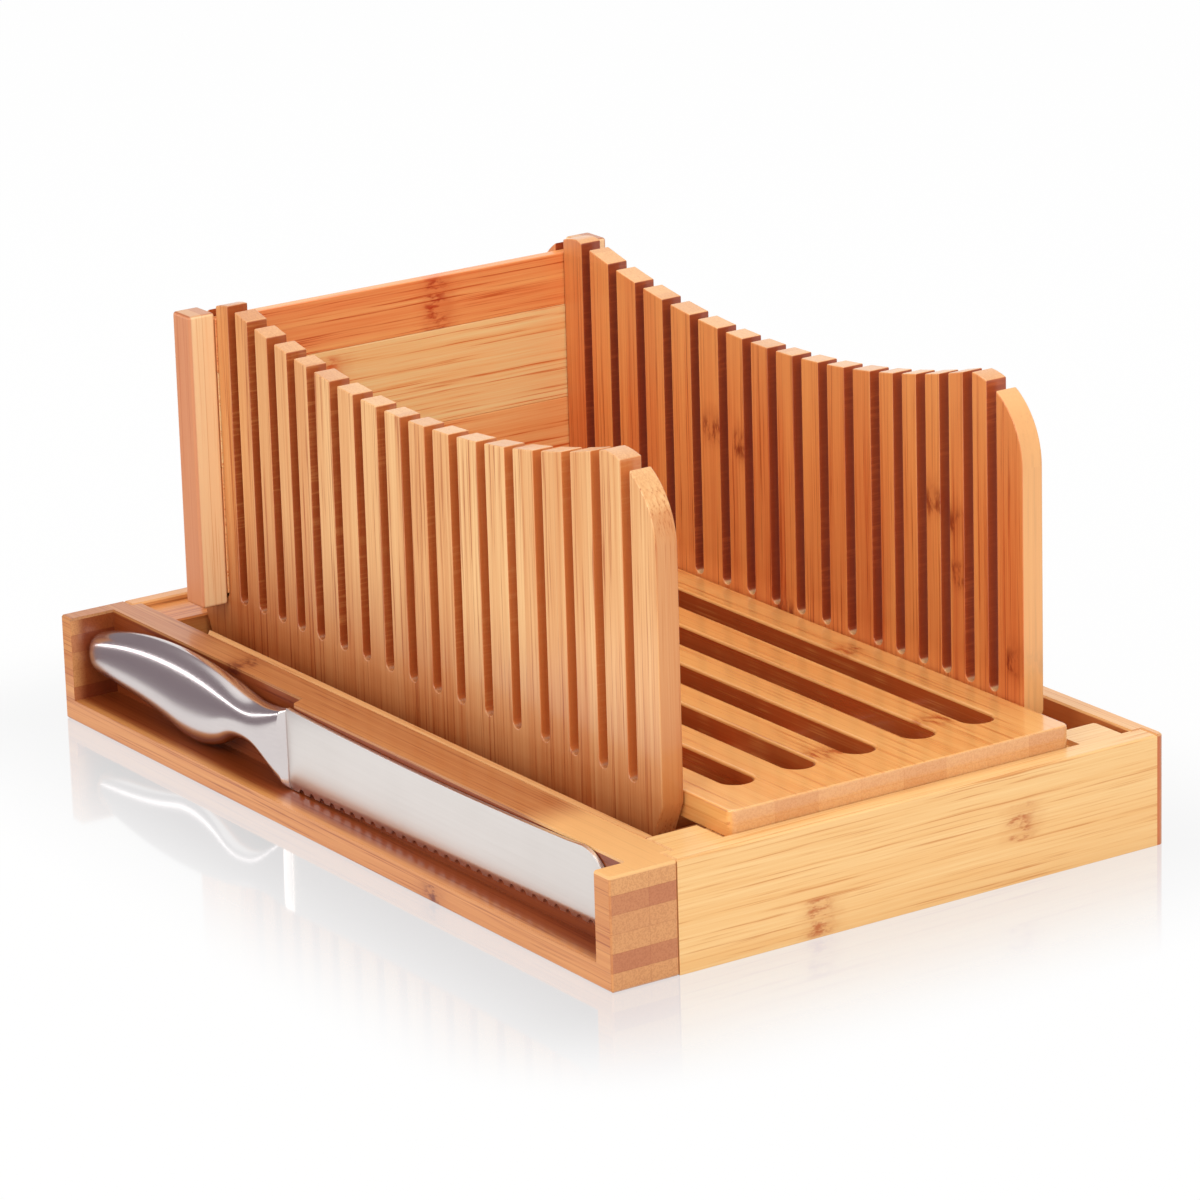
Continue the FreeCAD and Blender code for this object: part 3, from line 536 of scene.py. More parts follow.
class Workshop:
    """Turns bmesh shapes into finished pieces, and dresses the nodes that keep their own shape."""

    def __init__(self) -> None:
        """Start with no materials made."""
        self.made: dict[str, bpy.types.Material] = {}

    def material(self, finish: Finish) -> bpy.types.Material:
        """Return the finish's material, made once.

        Args:
            finish: The finish.

        Returns:
            The material.
        """
        if finish.name not in self.made:
            self.made[finish.name] = finish.make()
        return self.made[finish.name]

    def dress(self, node: str, finish: Finish) -> None:
        """Give a node of the frame its finish.

        Args:
            node: The node's name.
            finish: The finish to use.
        """
        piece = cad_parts[node]
        if not piece.material_slots:
            piece.data.materials.append(self.material(finish))
        for place in piece.material_slots:
            place.link = "OBJECT"
            place.material = self.material(finish)
        log.info("%s dressed in %s", node, finish.name)

    def piece(self, name: str, shape: bmesh.types.BMesh, finish: Finish, body: str, node: str,
              soften: float = 0.0, segments: int = 2, crease: float = 40.0) -> bpy.types.Object:
        """Finish a shape as a piece that stands for a node.

        Args:
            name: The piece's name.
            shape: The shape, in the row frame, which is used up.
            finish: Its finish.
            body: The body it rides on.
            node: The node it stands for.
            soften: The width of a bevel along its sharp edges, or 0 for none.
            segments: The bevel's segments.
            crease: The angle in degrees from which an edge stays sharp.

        Returns:
            The piece.
        """
        bmesh.ops.remove_doubles(shape, verts=shape.verts, dist=WELD)
        bmesh.ops.recalc_face_normals(shape, faces=shape.faces)
        if soften > 0:
            sharp = [edge for edge in shape.edges
                     if len(edge.link_faces) == 2 and edge.calc_face_angle() > math.radians(crease)]
            bmesh.ops.bevel(shape, geom=sharp, offset=soften, offset_type="OFFSET", segments=segments,
                            profile=0.5, affect="EDGES", clamp_overlap=True, material=-1)
        for face in shape.faces:
            face.smooth = True
        piece = to_scene(name, shape, self.material(finish))
        piece.data.set_sharp_from_angle(angle=math.radians(crease + 20))
        if soften > 0:
            piece.modifiers.new("even_shading", "WEIGHTED_NORMAL").keep_sharp = True
        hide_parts(node)
        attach(piece, body)
        log.info("%s built for %s with %d faces", name, node, len(piece.data.polygons))
        return piece


def to_scene(name: str, shape: bmesh.types.BMesh, material: bpy.types.Material) -> bpy.types.Object:
    """Make a shape an object of the scene.

    Args:
        name: The object's name.
        shape: The shape, which is used up.
        material: Its material.

    Returns:
        The object.
    """
    mesh = bpy.data.meshes.new(name)
    shape.to_mesh(mesh)
    shape.free()
    mesh.materials.append(material)
    made = bpy.data.objects.new(name, mesh)
    bpy.context.scene.collection.objects.link(made)
    return made


def raise_faces(shape: bmesh.types.BMesh, depth: Vector) -> None:
    """Extrude all of a shape's faces into a solid.

    Args:
        shape: The shape, with its faces in one plane.
        depth: How far and which way they are raised.
    """
    raised = bmesh.ops.extrude_face_region(shape, geom=list(shape.faces), use_keep_orig=True)
    ends = [item for item in raised["geom"] if isinstance(item, bmesh.types.BMVert)]
    bmesh.ops.translate(shape, verts=ends, vec=depth)


def raise_outline(corners: list[Vector], depth: Vector) -> bmesh.types.BMesh:
    """Fill an outline and extrude it into a new shape.

    Args:
        corners: The outline's points in order.
        depth: How far and which way it is raised.

    Returns:
        The shape.
    """
    shape = bmesh.new()
    shape.faces.new([shape.verts.new(corner) for corner in corners])
    raise_faces(shape, depth)
    return shape


def fit(shape: bmesh.types.BMesh, low: Vector, high: Vector) -> None:
    """Scale and move a shape of unit size, so that it fills a box."""
    bmesh.ops.scale(shape, verts=shape.verts, vec=high - low)
    bmesh.ops.translate(shape, verts=shape.verts, vec=(low + high) / 2)


def arc(middle: Corner, radius: float, start: float, end: float, steps: int) -> list[Corner]:
    """Step round an arc.

    Args:
        middle: The arc's centre.
        radius: Its radius.
        start: Its first angle in degrees.
        end: Its last angle in degrees.
        steps: The number of steps.

    Returns:
        The points, both ends included.
    """
    angles = [math.radians(start + (end - start) * step / steps) for step in range(steps + 1)]
    return [(middle[0] + radius * math.cos(angle), middle[1] + radius * math.sin(angle)) for angle in angles]


CARAMEL = dict(pale="dd9a58", warm="c06d36", fibre="96461c", end_grain="dba06b")
STRAW = dict(pale="f5cf92", warm="e9b069", fibre="cc8440", end_grain="dcab78")


@dataclass
class Tray:
    """The tray: knife block, walls, ledge, rail, floor and magnets."""

    shop: Workshop
    pocket_front: float = 8.5 * MM
    pocket_rear: float = 6.7 * MM
    pocket_floor: float = 7.9 * MM
    pocket_depth: float = 17.9 * MM
    # distances from the block's front where the painted light on its top is gone and where it is full
    painted_light_top: Corner = (72 * MM, 48 * MM)
    rail_splay: float = 4.0 * MM
    softening: float = 0.5 * MM

    def block_painted_light(self, low: Vector, high: Vector) -> tuple[Drift, ...]:
        """Paint light and shade on the knife block: a pool of light on the front end of its top, the left
        guide's shadow on the top behind it, and shade in its pocket.

        Args:
            low: The block's lowest corner.
            high: Its highest corner.

        Returns:
            The drifts.
        """
        top = (Vector((-FAR, -FAR, high.z - 1 * MM)), Vector((FAR, FAR, FAR)))
        pocket = (Vector((-FAR, low.y + self.pocket_front, low.z + self.pocket_floor)),
                  Vector((low.x + self.pocket_depth, high.y - self.pocket_rear, high.z - 1 * MM)))
        plain, pale = (low.y + place for place in self.painted_light_top)
        # A painted pool of light on the front end of the top, a painted shadow of the left guide on the top
        # behind it, and painted shade in the pocket.
        return (Drift(Axis.Y, plain, pale, "f6c684", 0.68, corners=top),
                Drift(Axis.Y, pale, plain, "eaeeff", 1.0, "MULTIPLY", top),
                Drift(Axis.X, low.x, low.x + 6 * MM, "ac7c66", 1.0, "MULTIPLY", pocket))

    def build(self) -> None:
        """Dress the tray's walls and build its rail."""
        block_low, block_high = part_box("knife_block")
        low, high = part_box("front_wall")
        side_low, side_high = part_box("right_wall")
        # Painted shade: the right wall's inner face is tinted darker and redder than its outer face and its
        # top.
        inner = Drift(Axis.X, side_high.x - 0.5 * MM, side_low.x + 4 * MM, "c8662c", 0.75, corners=(
            Vector((-FAR, -FAR, -FAR)), Vector((side_high.x - 0.5 * MM, FAR, side_high.z - 0.7 * MM))))
        finishes = (
            Bamboo("knife_block_bamboo", "block_bamboo", Axis.Y, Axis.Z, 6.5 * MM, 15 * MM,
                   pale="dc9a58", warm="bb6c34", fibre="934218", end_grain="d99d64", end_dark="b8704a",
                   layer_start=block_low.x, seed=3.0, broad_streaks=0.4, gloss=0.34, mark_width=7 * MM,
                   marks=((block_high.y - 244 * MM, block_low.z + 3 * MM),
                          (block_high.y - 90 * MM, block_high.z)),
                   drifts=self.block_painted_light(block_low, block_high)),
            Bamboo("front_wall_bamboo", "wall_bamboo", Axis.X, Axis.Z, high.z - low.z, 6 * MM, start=low.z,
                   seed=8.0, tone_spread=0.15, broad_streaks=0.4, streaks=0.6, seam=0.25, mark_width=15 * MM,
                   marks=((low.x + 56 * MM, low.z + 7 * MM), (low.x + 138 * MM, low.z + 21 * MM)), **STRAW),
            Bamboo("right_wall_bamboo", "block_bamboo", Axis.Y, Axis.Z, 19.5 * MM, 3.6 * MM, seed=11.0,
                   pale="efc084", warm="dc9a58", fibre="b96c32", end_grain="c88555", drifts=(inner,)),
            Bamboo("rear_wall_bamboo", "block_bamboo", Axis.X, Axis.Z, 39 * MM, 6 * MM, start=low.z,
                   seed=14.0, pale="e6b074", warm="cf8a4c", fibre="aa6230", end_grain="d29c6a",
                   node_share=1.0, node_gap=0.19),
            Bamboo("rear_ledge_bamboo", "wall_bamboo", Axis.X, Axis.Y, 6.7 * MM, 12 * MM, seed=17.0,
                   **CARAMEL),
            Bamboo("tray_floor_bamboo", "floor_bamboo", Axis.Y, Axis.X, 20 * MM, 8 * MM, seed=21.0,
                   pale="d48c50", warm="b5622f", fibre="8c421a", end_grain="b27548", node_share=0.5))
        for finish in finishes:
            self.shop.dress(finish.name.removesuffix("_bamboo"), finish)
        nickel = BrushedSteel("magnet_nickel", "magnet_nickel", "d9d6d0", "b9b6b0", Axis.Y)
        self.shop.dress("knife_magnets", nickel)
        self.build_rail()

    def build_rail(self) -> None:
        """Build the pale rail beside the knife block, with its slanted rear end."""
        low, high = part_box("side_rail")
        corners = [(low.x, low.y), (high.x, low.y), (high.x, high.y), (low.x, high.y - self.rail_splay)]
        rail = raise_outline([Vector((x, y, low.z)) for x, y in corners], Vector((0, 0, high.z - low.z)))
        finish = Bamboo("side_rail_bamboo", "rail_bamboo", Axis.Y, Axis.Z, 15.5 * MM, 3 * MM, start=low.z,
                        layer_start=low.x, seed=24.0, pale="e7b67c", warm="c98548", fibre="a8602e",
                        end_grain="d29c6a")
        self.shop.piece("side_rail_piece", rail, finish, "tray", "side_rail", self.softening)


@dataclass
class SlattedBoard:
    """The board the loaf stands on, with its cleats and screws."""

    shop: Workshop
    slots: int = 5
    slot_width: float = 12.2 * MM
    slot_pitch: float = 24.5 * MM
    slot_end: float = 19.6 * MM
    corner: float = 3.0 * MM
    horn_width: float = 6.0 * MM
    horn_bottom: float = 13.0 * MM
    horn_cut: float = 2.0 * MM
    softening: float = 0.9 * MM

    def build(self) -> None:
        """Build the board and dress what is under it."""
        low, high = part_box("slatted_board")
        plank = bmesh.new()
        middle = (low.x + high.x) / 2
        lines = [middle + (i - (self.slots - 1) / 2) * self.slot_pitch for i in range(self.slots)]
        bounds = [low.x, *lines, high.x]
        for number, (left, right) in enumerate(zip(bounds, bounds[1:])):
            outline = self.slat_side(right, low.y, high.y, -1, number == self.slots)
            outline += self.slat_side(left, low.y, high.y, 1, number == 0)[::-1]
            plank.faces.new([plank.verts.new((x, y, low.z)) for x, y in outline])
        bmesh.ops.remove_doubles(plank, verts=plank.verts, dist=WELD)
        raise_faces(plank, Vector((0, 0, high.z - low.z)))
        finish = Bamboo(
            "board_bamboo", "board_bamboo", Axis.Y, Axis.X, 17.2 * MM, 4.9 * MM, start=low.x,
            layer_start=low.z, seed=31.0, pale="f5bd74", warm="e59a52", fibre="bf6c2e", end_grain="e6ae74",
            end_dark="dca068", tone_spread=0.4, seam=0.3, sawn_and_shaded=Sawn.CRUMB_SLOTS, sawn_and_shaded_tone="b8501f",
            sawn_and_shaded_rear="a8441a", mark_width=13 * MM, gloss=0.22, coat=0.75, coat_roughness=0.09,
            marks=((low.y + 29 * MM, low.x + 57 * MM), (low.y + 33 * MM, high.x - 33 * MM),
                   (low.y + 112 * MM, high.x - 10 * MM), (low.y + 212 * MM, low.x + 33 * MM)))
        self.shop.piece("slatted_board_piece", plank, finish, "board", "slatted_board", self.softening, 3)
        cleat = Bamboo("cleat_bamboo", "block_bamboo", Axis.X, Axis.Z, 6 * MM, 9 * MM, seed=35.0, **CARAMEL)
        for node in ("front_cleat", "rear_cleat"):
            self.build_cleat(node, cleat)
        screw = BrushedSteel("screw_steel", "screw_steel", "c9c8c2", "a09e98", Axis.X)
        self.shop.dress("cleat_screws", screw)

    def build_cleat(self, node: str, finish: Bamboo) -> None:
        """Build one cleat, with its horns, which hold the guides' feet, cut low enough to stay out of sight.

        Args:
            node: The cleat's node.
            finish: Its bamboo.
        """
        low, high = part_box(node)
        cleat = bmesh.new()
        cleat.from_mesh(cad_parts[node].data)
        bmesh.ops.remove_doubles(cleat, verts=cleat.verts, dist=WELD)
        horn_tops = [vert for vert in cleat.verts if vert.co.z > low.z + self.horn_bottom
                     and not low.x + self.horn_width < vert.co.x < high.x - self.horn_width]
        bmesh.ops.translate(cleat, verts=horn_tops, vec=Vector((0, 0, -self.horn_cut)))
        self.shop.piece(node + "_piece", cleat, finish, "board", node)

    def slat_side(self, x: float, front: float, rear: float, inward: int, outer: bool) -> list[Corner]:
        """Trace one long side of a slat from the front to the rear.

        Args:
            x: The side's place: the board's edge, or the middle of a crumb slot.
            front: The board's front.
            rear: The board's rear.
            inward: 1 if the slat lies to the right of the side, else -1.
            outer: Whether the side is the board's own edge.

        Returns:
            The side's points.
        """
        if outer:
            middle_x = x + inward * self.corner
            first, last = (180, 180) if inward > 0 else (360, 0)
            return (arc((middle_x, front + self.corner), self.corner, 270, first, 6)
                    + arc((middle_x, rear - self.corner), self.corner, last, 90, 6))
        half = self.slot_width / 2
        first, last = front + self.slot_end, rear - self.slot_end
        start, side = (-90, 0) if inward > 0 else (270, 180)
        near = arc((x, first + half), half, start, side, 10)
        far = arc((x, last - half), half, side, 90, 10)
        return [(x, front), *near, *far, (x, rear)]


@dataclass
class Guides:
    """The two slotted plates that steer the knife. The right one is the left one turned end for end."""

    shop: Workshop
    length: float = 290.0 * MM
    height: float = 137.6 * MM
    corner: float = 28.0 * MM
    saddle: float = 16.1 * MM
    taper_height: float = 24.2 * MM
    taper_run: float = 11.0 * MM
    slot_width: float = 5.0 * MM
    slot_end: float = 16.5 * MM
    slot_floor: float = 28.5 * MM
    slots_per_group: int = 6
    pitches: tuple[float, ...] = (17.0 * MM, 15.0 * MM, 13.0 * MM)
    cleat_spacing: float = 200.0 * MM
    notch_half: float = 9.3 * MM
    notch_height: float = 9.0 * MM
    tooth_step: float = 3.0 * MM
    softening: float = 0.45 * MM

    def slot_middles(self) -> list[float]:
        """List the slots' middles from the end with the widest pitch.

        Returns:
            The middles, as distances from that end.
        """
        middles = [self.slot_end]
        for group, pitch in enumerate(self.pitches):
            steps = self.slots_per_group if group < len(self.pitches) - 1 else self.slots_per_group - 1
            middles += [middles[-1] + pitch * (step + 1) for step in range(steps)]
        return middles

    def top(self, y: float) -> float:
        """Give the plate's height at a distance from its end.

        Args:
            y: The distance.

        Returns:
            The height.
        """
        from_end = min(y, self.length - y)
        if from_end < self.corner:
            return self.height - self.corner + bow(self.corner, self.corner - from_end)
        half = self.length / 2 - self.corner
        radius = (half ** 2 + self.saddle ** 2) / (2 * self.saddle)
        return self.height - self.saddle + radius - bow(radius, y - self.length / 2)

    def tooth_top(self, start: float, end: float) -> list[Corner]:
        """Trace the top of one tooth, from its rear side to its front side.

        Args:
            start: The distance to its front side.
            end: The distance to its rear side.

        Returns:
            The top's points.
        """
        count = max(2, math.ceil((end - start) / self.tooth_step))
        stops = {start, end, *(start + (end - start) * step / count for step in range(count + 1))}
        stops |= {edge for edge in (self.corner, self.length - self.corner) if start < edge < end}
        return [(y, self.top(y)) for y in sorted(stops, reverse=True)]

    def outline(self) -> list[Corner]:
        """Trace the plate from its front foot, round the rear and back over the teeth.

        Returns:
            The outline's points, as distance from the front end and height.
        """
        points: list[Corner] = [(self.taper_run, 0.0)]
        for sign in (-1, 1):
            middle = self.length / 2 + sign * self.cleat_spacing / 2
            near, far = middle - self.notch_half, middle + self.notch_half
            points += [(near, 0.0), (near, self.notch_height), (far, self.notch_height), (far, 0.0)]
        points += [(self.length - self.taper_run, 0.0), (self.length, self.taper_height)]
        shoulder = self.height - self.corner
        rear_arc = arc((self.length - self.corner, shoulder), self.corner, 0, 90, 24)
        mouth = self.slot_width / 2
        middles = sorted(self.slot_middles(), reverse=True)
        last_wall, first_wall = middles[0] + mouth, middles[-1] - mouth
        points += [point for point in rear_arc if point[0] > last_wall + WELD]
        points.append((last_wall, self.top(last_wall)))
        for number, middle in enumerate(middles):
            points += arc((middle, self.slot_floor + mouth), mouth, 0, -180, 12)
            if number + 1 < len(middles):
                points += self.tooth_top(middles[number + 1] + mouth, middle - mouth)
        points.append((first_wall, self.top(first_wall)))
        front_arc = arc((self.corner, shoulder), self.corner, 90, 180, 24)
        points += [point for point in front_arc if point[0] < first_wall - WELD]
        points.append((0.0, self.taper_height))
        return points

    def looks(self) -> dict[str, dict[str, object]]:
        """Say how the bamboo of each plate differs.

        Returns:
            The plates' names with their tones, marks and drifts, among them painted shade at the left plate's
            foot and painted light at the right plate's top.
        """
        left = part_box("left_guide")[0]
        low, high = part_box("right_guide")
        inner = {side: (Vector((x + 0.3 * MM, -FAR, -FAR)), Vector((FAR, FAR, FAR)))
                 for side, x in (("left", left.x), ("right", low.x))}
        knots = ((high.z - 52 * MM, low.y + 179 * MM), (high.z - 54 * MM, low.y + 160 * MM),
                 (high.z - 54 * MM, low.y + 37 * MM), (high.z - 49 * MM, low.y + 48 * MM),
                 (low.z + 28 * MM, low.y + 136 * MM), (high.z - 72 * MM, low.y + 34 * MM),
                 (low.z + 42 * MM, low.y + 4 * MM))
        return {
            "left_guide": dict(
                pale="f2c58a", warm="d99254", fibre="ad5a26", sawn_and_shaded_tone="d0783c", sawn_and_shaded_rear="ac5022",
                seed=41.0,
                # painted shade: the left guide darkens towards its foot
                drifts=(Drift(Axis.Z, high.z - 62 * MM, low.z + 8 * MM, "bf8a6a", 0.85, "MULTIPLY"),
                        Drift(Axis.Y, low.y + 140 * MM, high.y, "f2e0d2", 1.0, "MULTIPLY"),
                        Drift(Axis.Y, low.y + 4 * MM, low.y + 2 * MM, "cb7e44", 0.6, corners=inner["left"]))),
            "right_guide": dict(
                pale="e99a56", warm="cd6632", fibre="9f3f15", sawn_and_shaded_tone="a34119", sawn_and_shaded_rear="943818",
                seed=57.0, marks=knots, mark_width=12 * MM,
                drifts=(Drift(Axis.Y, low.y + 22 * MM, low.y + 8 * MM, "f2bd7c", 0.7, corners=inner["right"]),
                        # painted light: the right guide grows lighter towards its top, where light falls from
                        # above
                        Drift(Axis.Z, high.z - 60 * MM, high.z - 5 * MM, "eaa868", 0.35))),
        }

    def build(self) -> None:
        """Build both guides."""
        outline = self.outline()
        for name, look in self.looks().items():
            low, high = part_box(name)
            turned = name == "right_guide"
            plate = raise_outline([Vector((low.x, high.y - y if turned else low.y + y, low.z + z))
                                   for y, z in outline], Vector((high.x - low.x, 0, 0)))
            finish = Bamboo(name + "_bamboo", "guide_bamboo", Axis.Z, Axis.Y, 19.3 * MM, 4.25 * MM,
                            start=low.y, layer_start=low.x, end_grain="e9b478", end_dark="dba068",
                            tone_spread=0.45, streaks=0.6, broad_streaks=0.45, gloss=0.3, coat=0.4, seam=0.2,
                            sawn_and_shaded=Sawn.SAW_SLOTS, **look)
            self.shop.piece(name + "_plate", plate, finish, name + "_plate", name, self.softening, 2, 55.0)


@dataclass
class BackPanel:
    """The sliding back panel: three staves between two battens."""

    shop: Workshop
    tongue: float = 5.0 * MM
    softening: float = 0.4 * MM
    batten_round: float = 1.2 * MM

    def build(self) -> None:
        """Build the staves and the battens."""
        low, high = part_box("panel_upper_stave")
        stave_looks = {
            "panel_lower_stave": dict(pale="fcc888", warm="f19a55", fibre="d9682c", seed=61.0),
            "panel_middle_stave": dict(pale="fde0a4", warm="f8ba74", fibre="e07a3a", seed=67.0,
                                       marks=((low.x + 52 * MM, low.z - 14 * MM),)),
            "panel_upper_stave": dict(pale="fbb670", warm="ee8246", fibre="cc5420", seed=73.0,
                                      marks=((low.x + 98 * MM, low.z + 8 * MM),)),
        }
        for name, look in stave_looks.items():
            low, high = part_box(name)
            low.x += self.tongue
            high.x -= self.tongue
            finish = Bamboo(name + "_bamboo", "panel_bamboo", Axis.X, Axis.Z, high.z - low.z, high.y - low.y,
                            start=low.z, layer_start=low.y, tone_spread=0.1, streaks=0.8, broad_streaks=0.6,
                            end_grain="d08a55", mark_width=26 * MM, seam=0.2, gloss=0.34, **look)
            self.build_bar(name, low, high, finish, self.softening, 2)
        for name, seed in (("left_batten", 81.0), ("right_batten", 87.0)):
            low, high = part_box(name)
            outer, inward = (low.x, MM) if name == "left_batten" else (high.x, -MM)
            shaded = Drift(Axis.X, outer + 1.2 * inward, outer + 0.6 * inward, "d6a898", 1.0, "MULTIPLY")
            finish = Bamboo(name + "_bamboo", "batten_bamboo", Axis.Z, Axis.X, (high.x - low.x) / 2, 12 * MM,
                            start=low.x, layer_start=low.y, seed=seed, pale="fee0b2", warm="f8c690",
                            fibre="de9a62", end_grain="d8a26e", tone_spread=0.25, seam=0.5, streaks=0.35,
                            drifts=(shaded,))
            self.build_bar(name, low, high, finish, self.batten_round, 4)

    def build_bar(self, node: str, low: Vector, high: Vector, finish: Bamboo, soften: float,
                  segments: int) -> None:
        """Build one stave or batten as a softened bar.

        Args:
            node: The node it stands for.
            low: Its lowest corner.
            high: Its highest corner.
            finish: Its bamboo.
            soften: The width of its rounded edges.
            segments: How many steps round them.
        """
        bar = bmesh.new()
        bmesh.ops.create_cube(bar, size=1.0)
        fit(bar, low, high)
        self.shop.piece(node + "_piece", bar, finish, "back_panel", node, soften, segments)


@dataclass(frozen=True)
class GripForm:
    """The grip's shape: arcs from the side, a waist seen from above, and a rounded section.

    Lengths run back from the blade's heel, and heights up from the heel's lowest point. The hollow, belly,
    dip and swell are the place and height of a highest or lowest point, and a radius where one is chosen.
    """

    length: float = 131.7 * MM
    half_width: float = 6.5 * MM
    neck_slope: float = 29.0
    hollow: tuple[float, float, float] = (27.0 * MM, 11.4 * MM, 26.0 * MM)
    belly: Corner = (61.0 * MM, 2.8 * MM)
    belly_slope: float = 15.0
    palm_radius: float = 219.0 * MM
    tail_slope: float = 7.0
    dip: tuple[float, float, float] = (14.0 * MM, 27.1 * MM, 63.0 * MM)
    swell: Corner = (77.0 * MM, 34.5 * MM)
    butt_round: float = 5.6 * MM
    butt_turns: tuple[float, ...] = (12, 25, 38, 51, 64, 77, 90)
    bolster_face: float = 1.2 * MM
    bolster_half: float = 3.3 * MM
    bolster_rings: tuple[float, ...] = (0.0, 0.25 * MM, 1.95 * MM, 2.2 * MM, 2.6 * MM)
    bolster_length: float = 2.2 * MM
    waist_end: float = 44.0 * MM
    squareness: float = 2.35
    neck_squareness: float = 5.0
    ring_points: int = 48
    ring_gap: float = 2.4 * MM

    def stations(self) -> list[float]:
        """List the rings' places, closer together at both ends.

        Returns:
            Their distances behind the heel.
        """
        start, butt = self.bolster_rings[-1], self.length - self.butt_round
        count = round((butt - start) / self.ring_gap)
        places = [*self.bolster_rings, *(start + (butt - start) * (i + 1) / count for i in range(count))]
        return places + [self.length - self.butt_round * (1 - math.sin(math.radians(turn)))
                         for turn in self.butt_turns]

    def low(self, back: float) -> float:
        """Give the height of the underside at a distance behind the heel.

        Args:
            back: The distance.

        Returns:
            The height.
        """
        middle, crest, radius = self.hollow
        level = crest - radius
        slope = math.radians(self.neck_slope)
        neck_back, neck_level = middle - radius * math.sin(slope), level + radius * math.cos(slope)
        if back < neck_back:
            return neck_level - (neck_back - back) * math.tan(slope)
        belly_back, belly_low = self.belly
        drop = belly_low - level
        belly_radius = ((belly_back - middle) ** 2 + drop ** 2 - radius ** 2) / (2 * (radius - drop))
        belly_level = belly_low + belly_radius
        if back < middle + (belly_back - middle) * radius / (radius + belly_radius):
            return level + bow(radius, back - middle)
        slope = math.radians(self.belly_slope)
        if back < belly_back + belly_radius * math.sin(slope):
            return belly_level - bow(belly_radius, back - belly_back)
        palm_back = belly_back + (belly_radius + self.palm_radius) * math.sin(slope)
        palm_level = belly_level - (belly_radius + self.palm_radius) * math.cos(slope)
        slope = math.radians(self.tail_slope)
        tail_back = palm_back - self.palm_radius * math.sin(slope)
        if back < tail_back:
            return palm_level + bow(self.palm_radius, back - palm_back)
        return palm_level + self.palm_radius * math.cos(slope) + (back - tail_back) * math.tan(slope)

    def high(self, back: float) -> float:
        """Give the height of the top at a distance behind the heel.

        Args:
            back: The distance.

        Returns:
            The height.
        """
        dip_back, dip_low, radius = self.dip
        level = dip_low + radius
        swell_back, swell_top = self.swell
        fall = level - swell_top
        swell_radius = ((swell_back - dip_back) ** 2 + fall ** 2 - radius ** 2) / (2 * (radius - fall))
        if back < dip_back + (swell_back - dip_back) * radius / (radius + swell_radius):
            return level - bow(radius, back - dip_back)
        return swell_top - swell_radius + bow(swell_radius, back - swell_back)

    def half(self, back: float) -> float:
        """Give half the width at a distance behind the heel.

        Args:
            back: The distance.

        Returns:
            Half the width.
        """
        if back < self.bolster_length:
            return self.bolster_face + (self.bolster_half - self.bolster_face) * back / self.bolster_length
        if back > self.waist_end:
            return self.half_width
        run, rise = self.waist_end - self.bolster_length, self.half_width - self.bolster_half
        radius = (run ** 2 + rise ** 2) / (2 * rise)
        return self.half_width - radius + bow(radius, self.waist_end - back)

    def point(self, back: float, turn: float) -> Vector:
        """Give a point of the skin.

        Args:
            back: The distance behind the heel.
            turn: The direction round the section in radians, from the right.

        Returns:
            The point, on the knife's own middle plane.
        """
        to_end = max(0.0, self.length - back)
        inset = 0.0
        if to_end < self.butt_round:
            inset = self.butt_round - bow(self.butt_round, self.butt_round - to_end)
        low, high = self.low(back) + inset, self.high(back) - inset
        neck = max(0.0, 1 - back / (0.5 * self.waist_end)) ** 2
        reach = 2 / (self.squareness + self.neck_squareness * neck)
        across, up = (math.copysign(abs(part) ** reach, part) for part in (math.cos(turn), math.sin(turn)))
        return Vector((across * (self.half(back) - inset), back, (low + high) / 2 + up * (high - low) / 2))


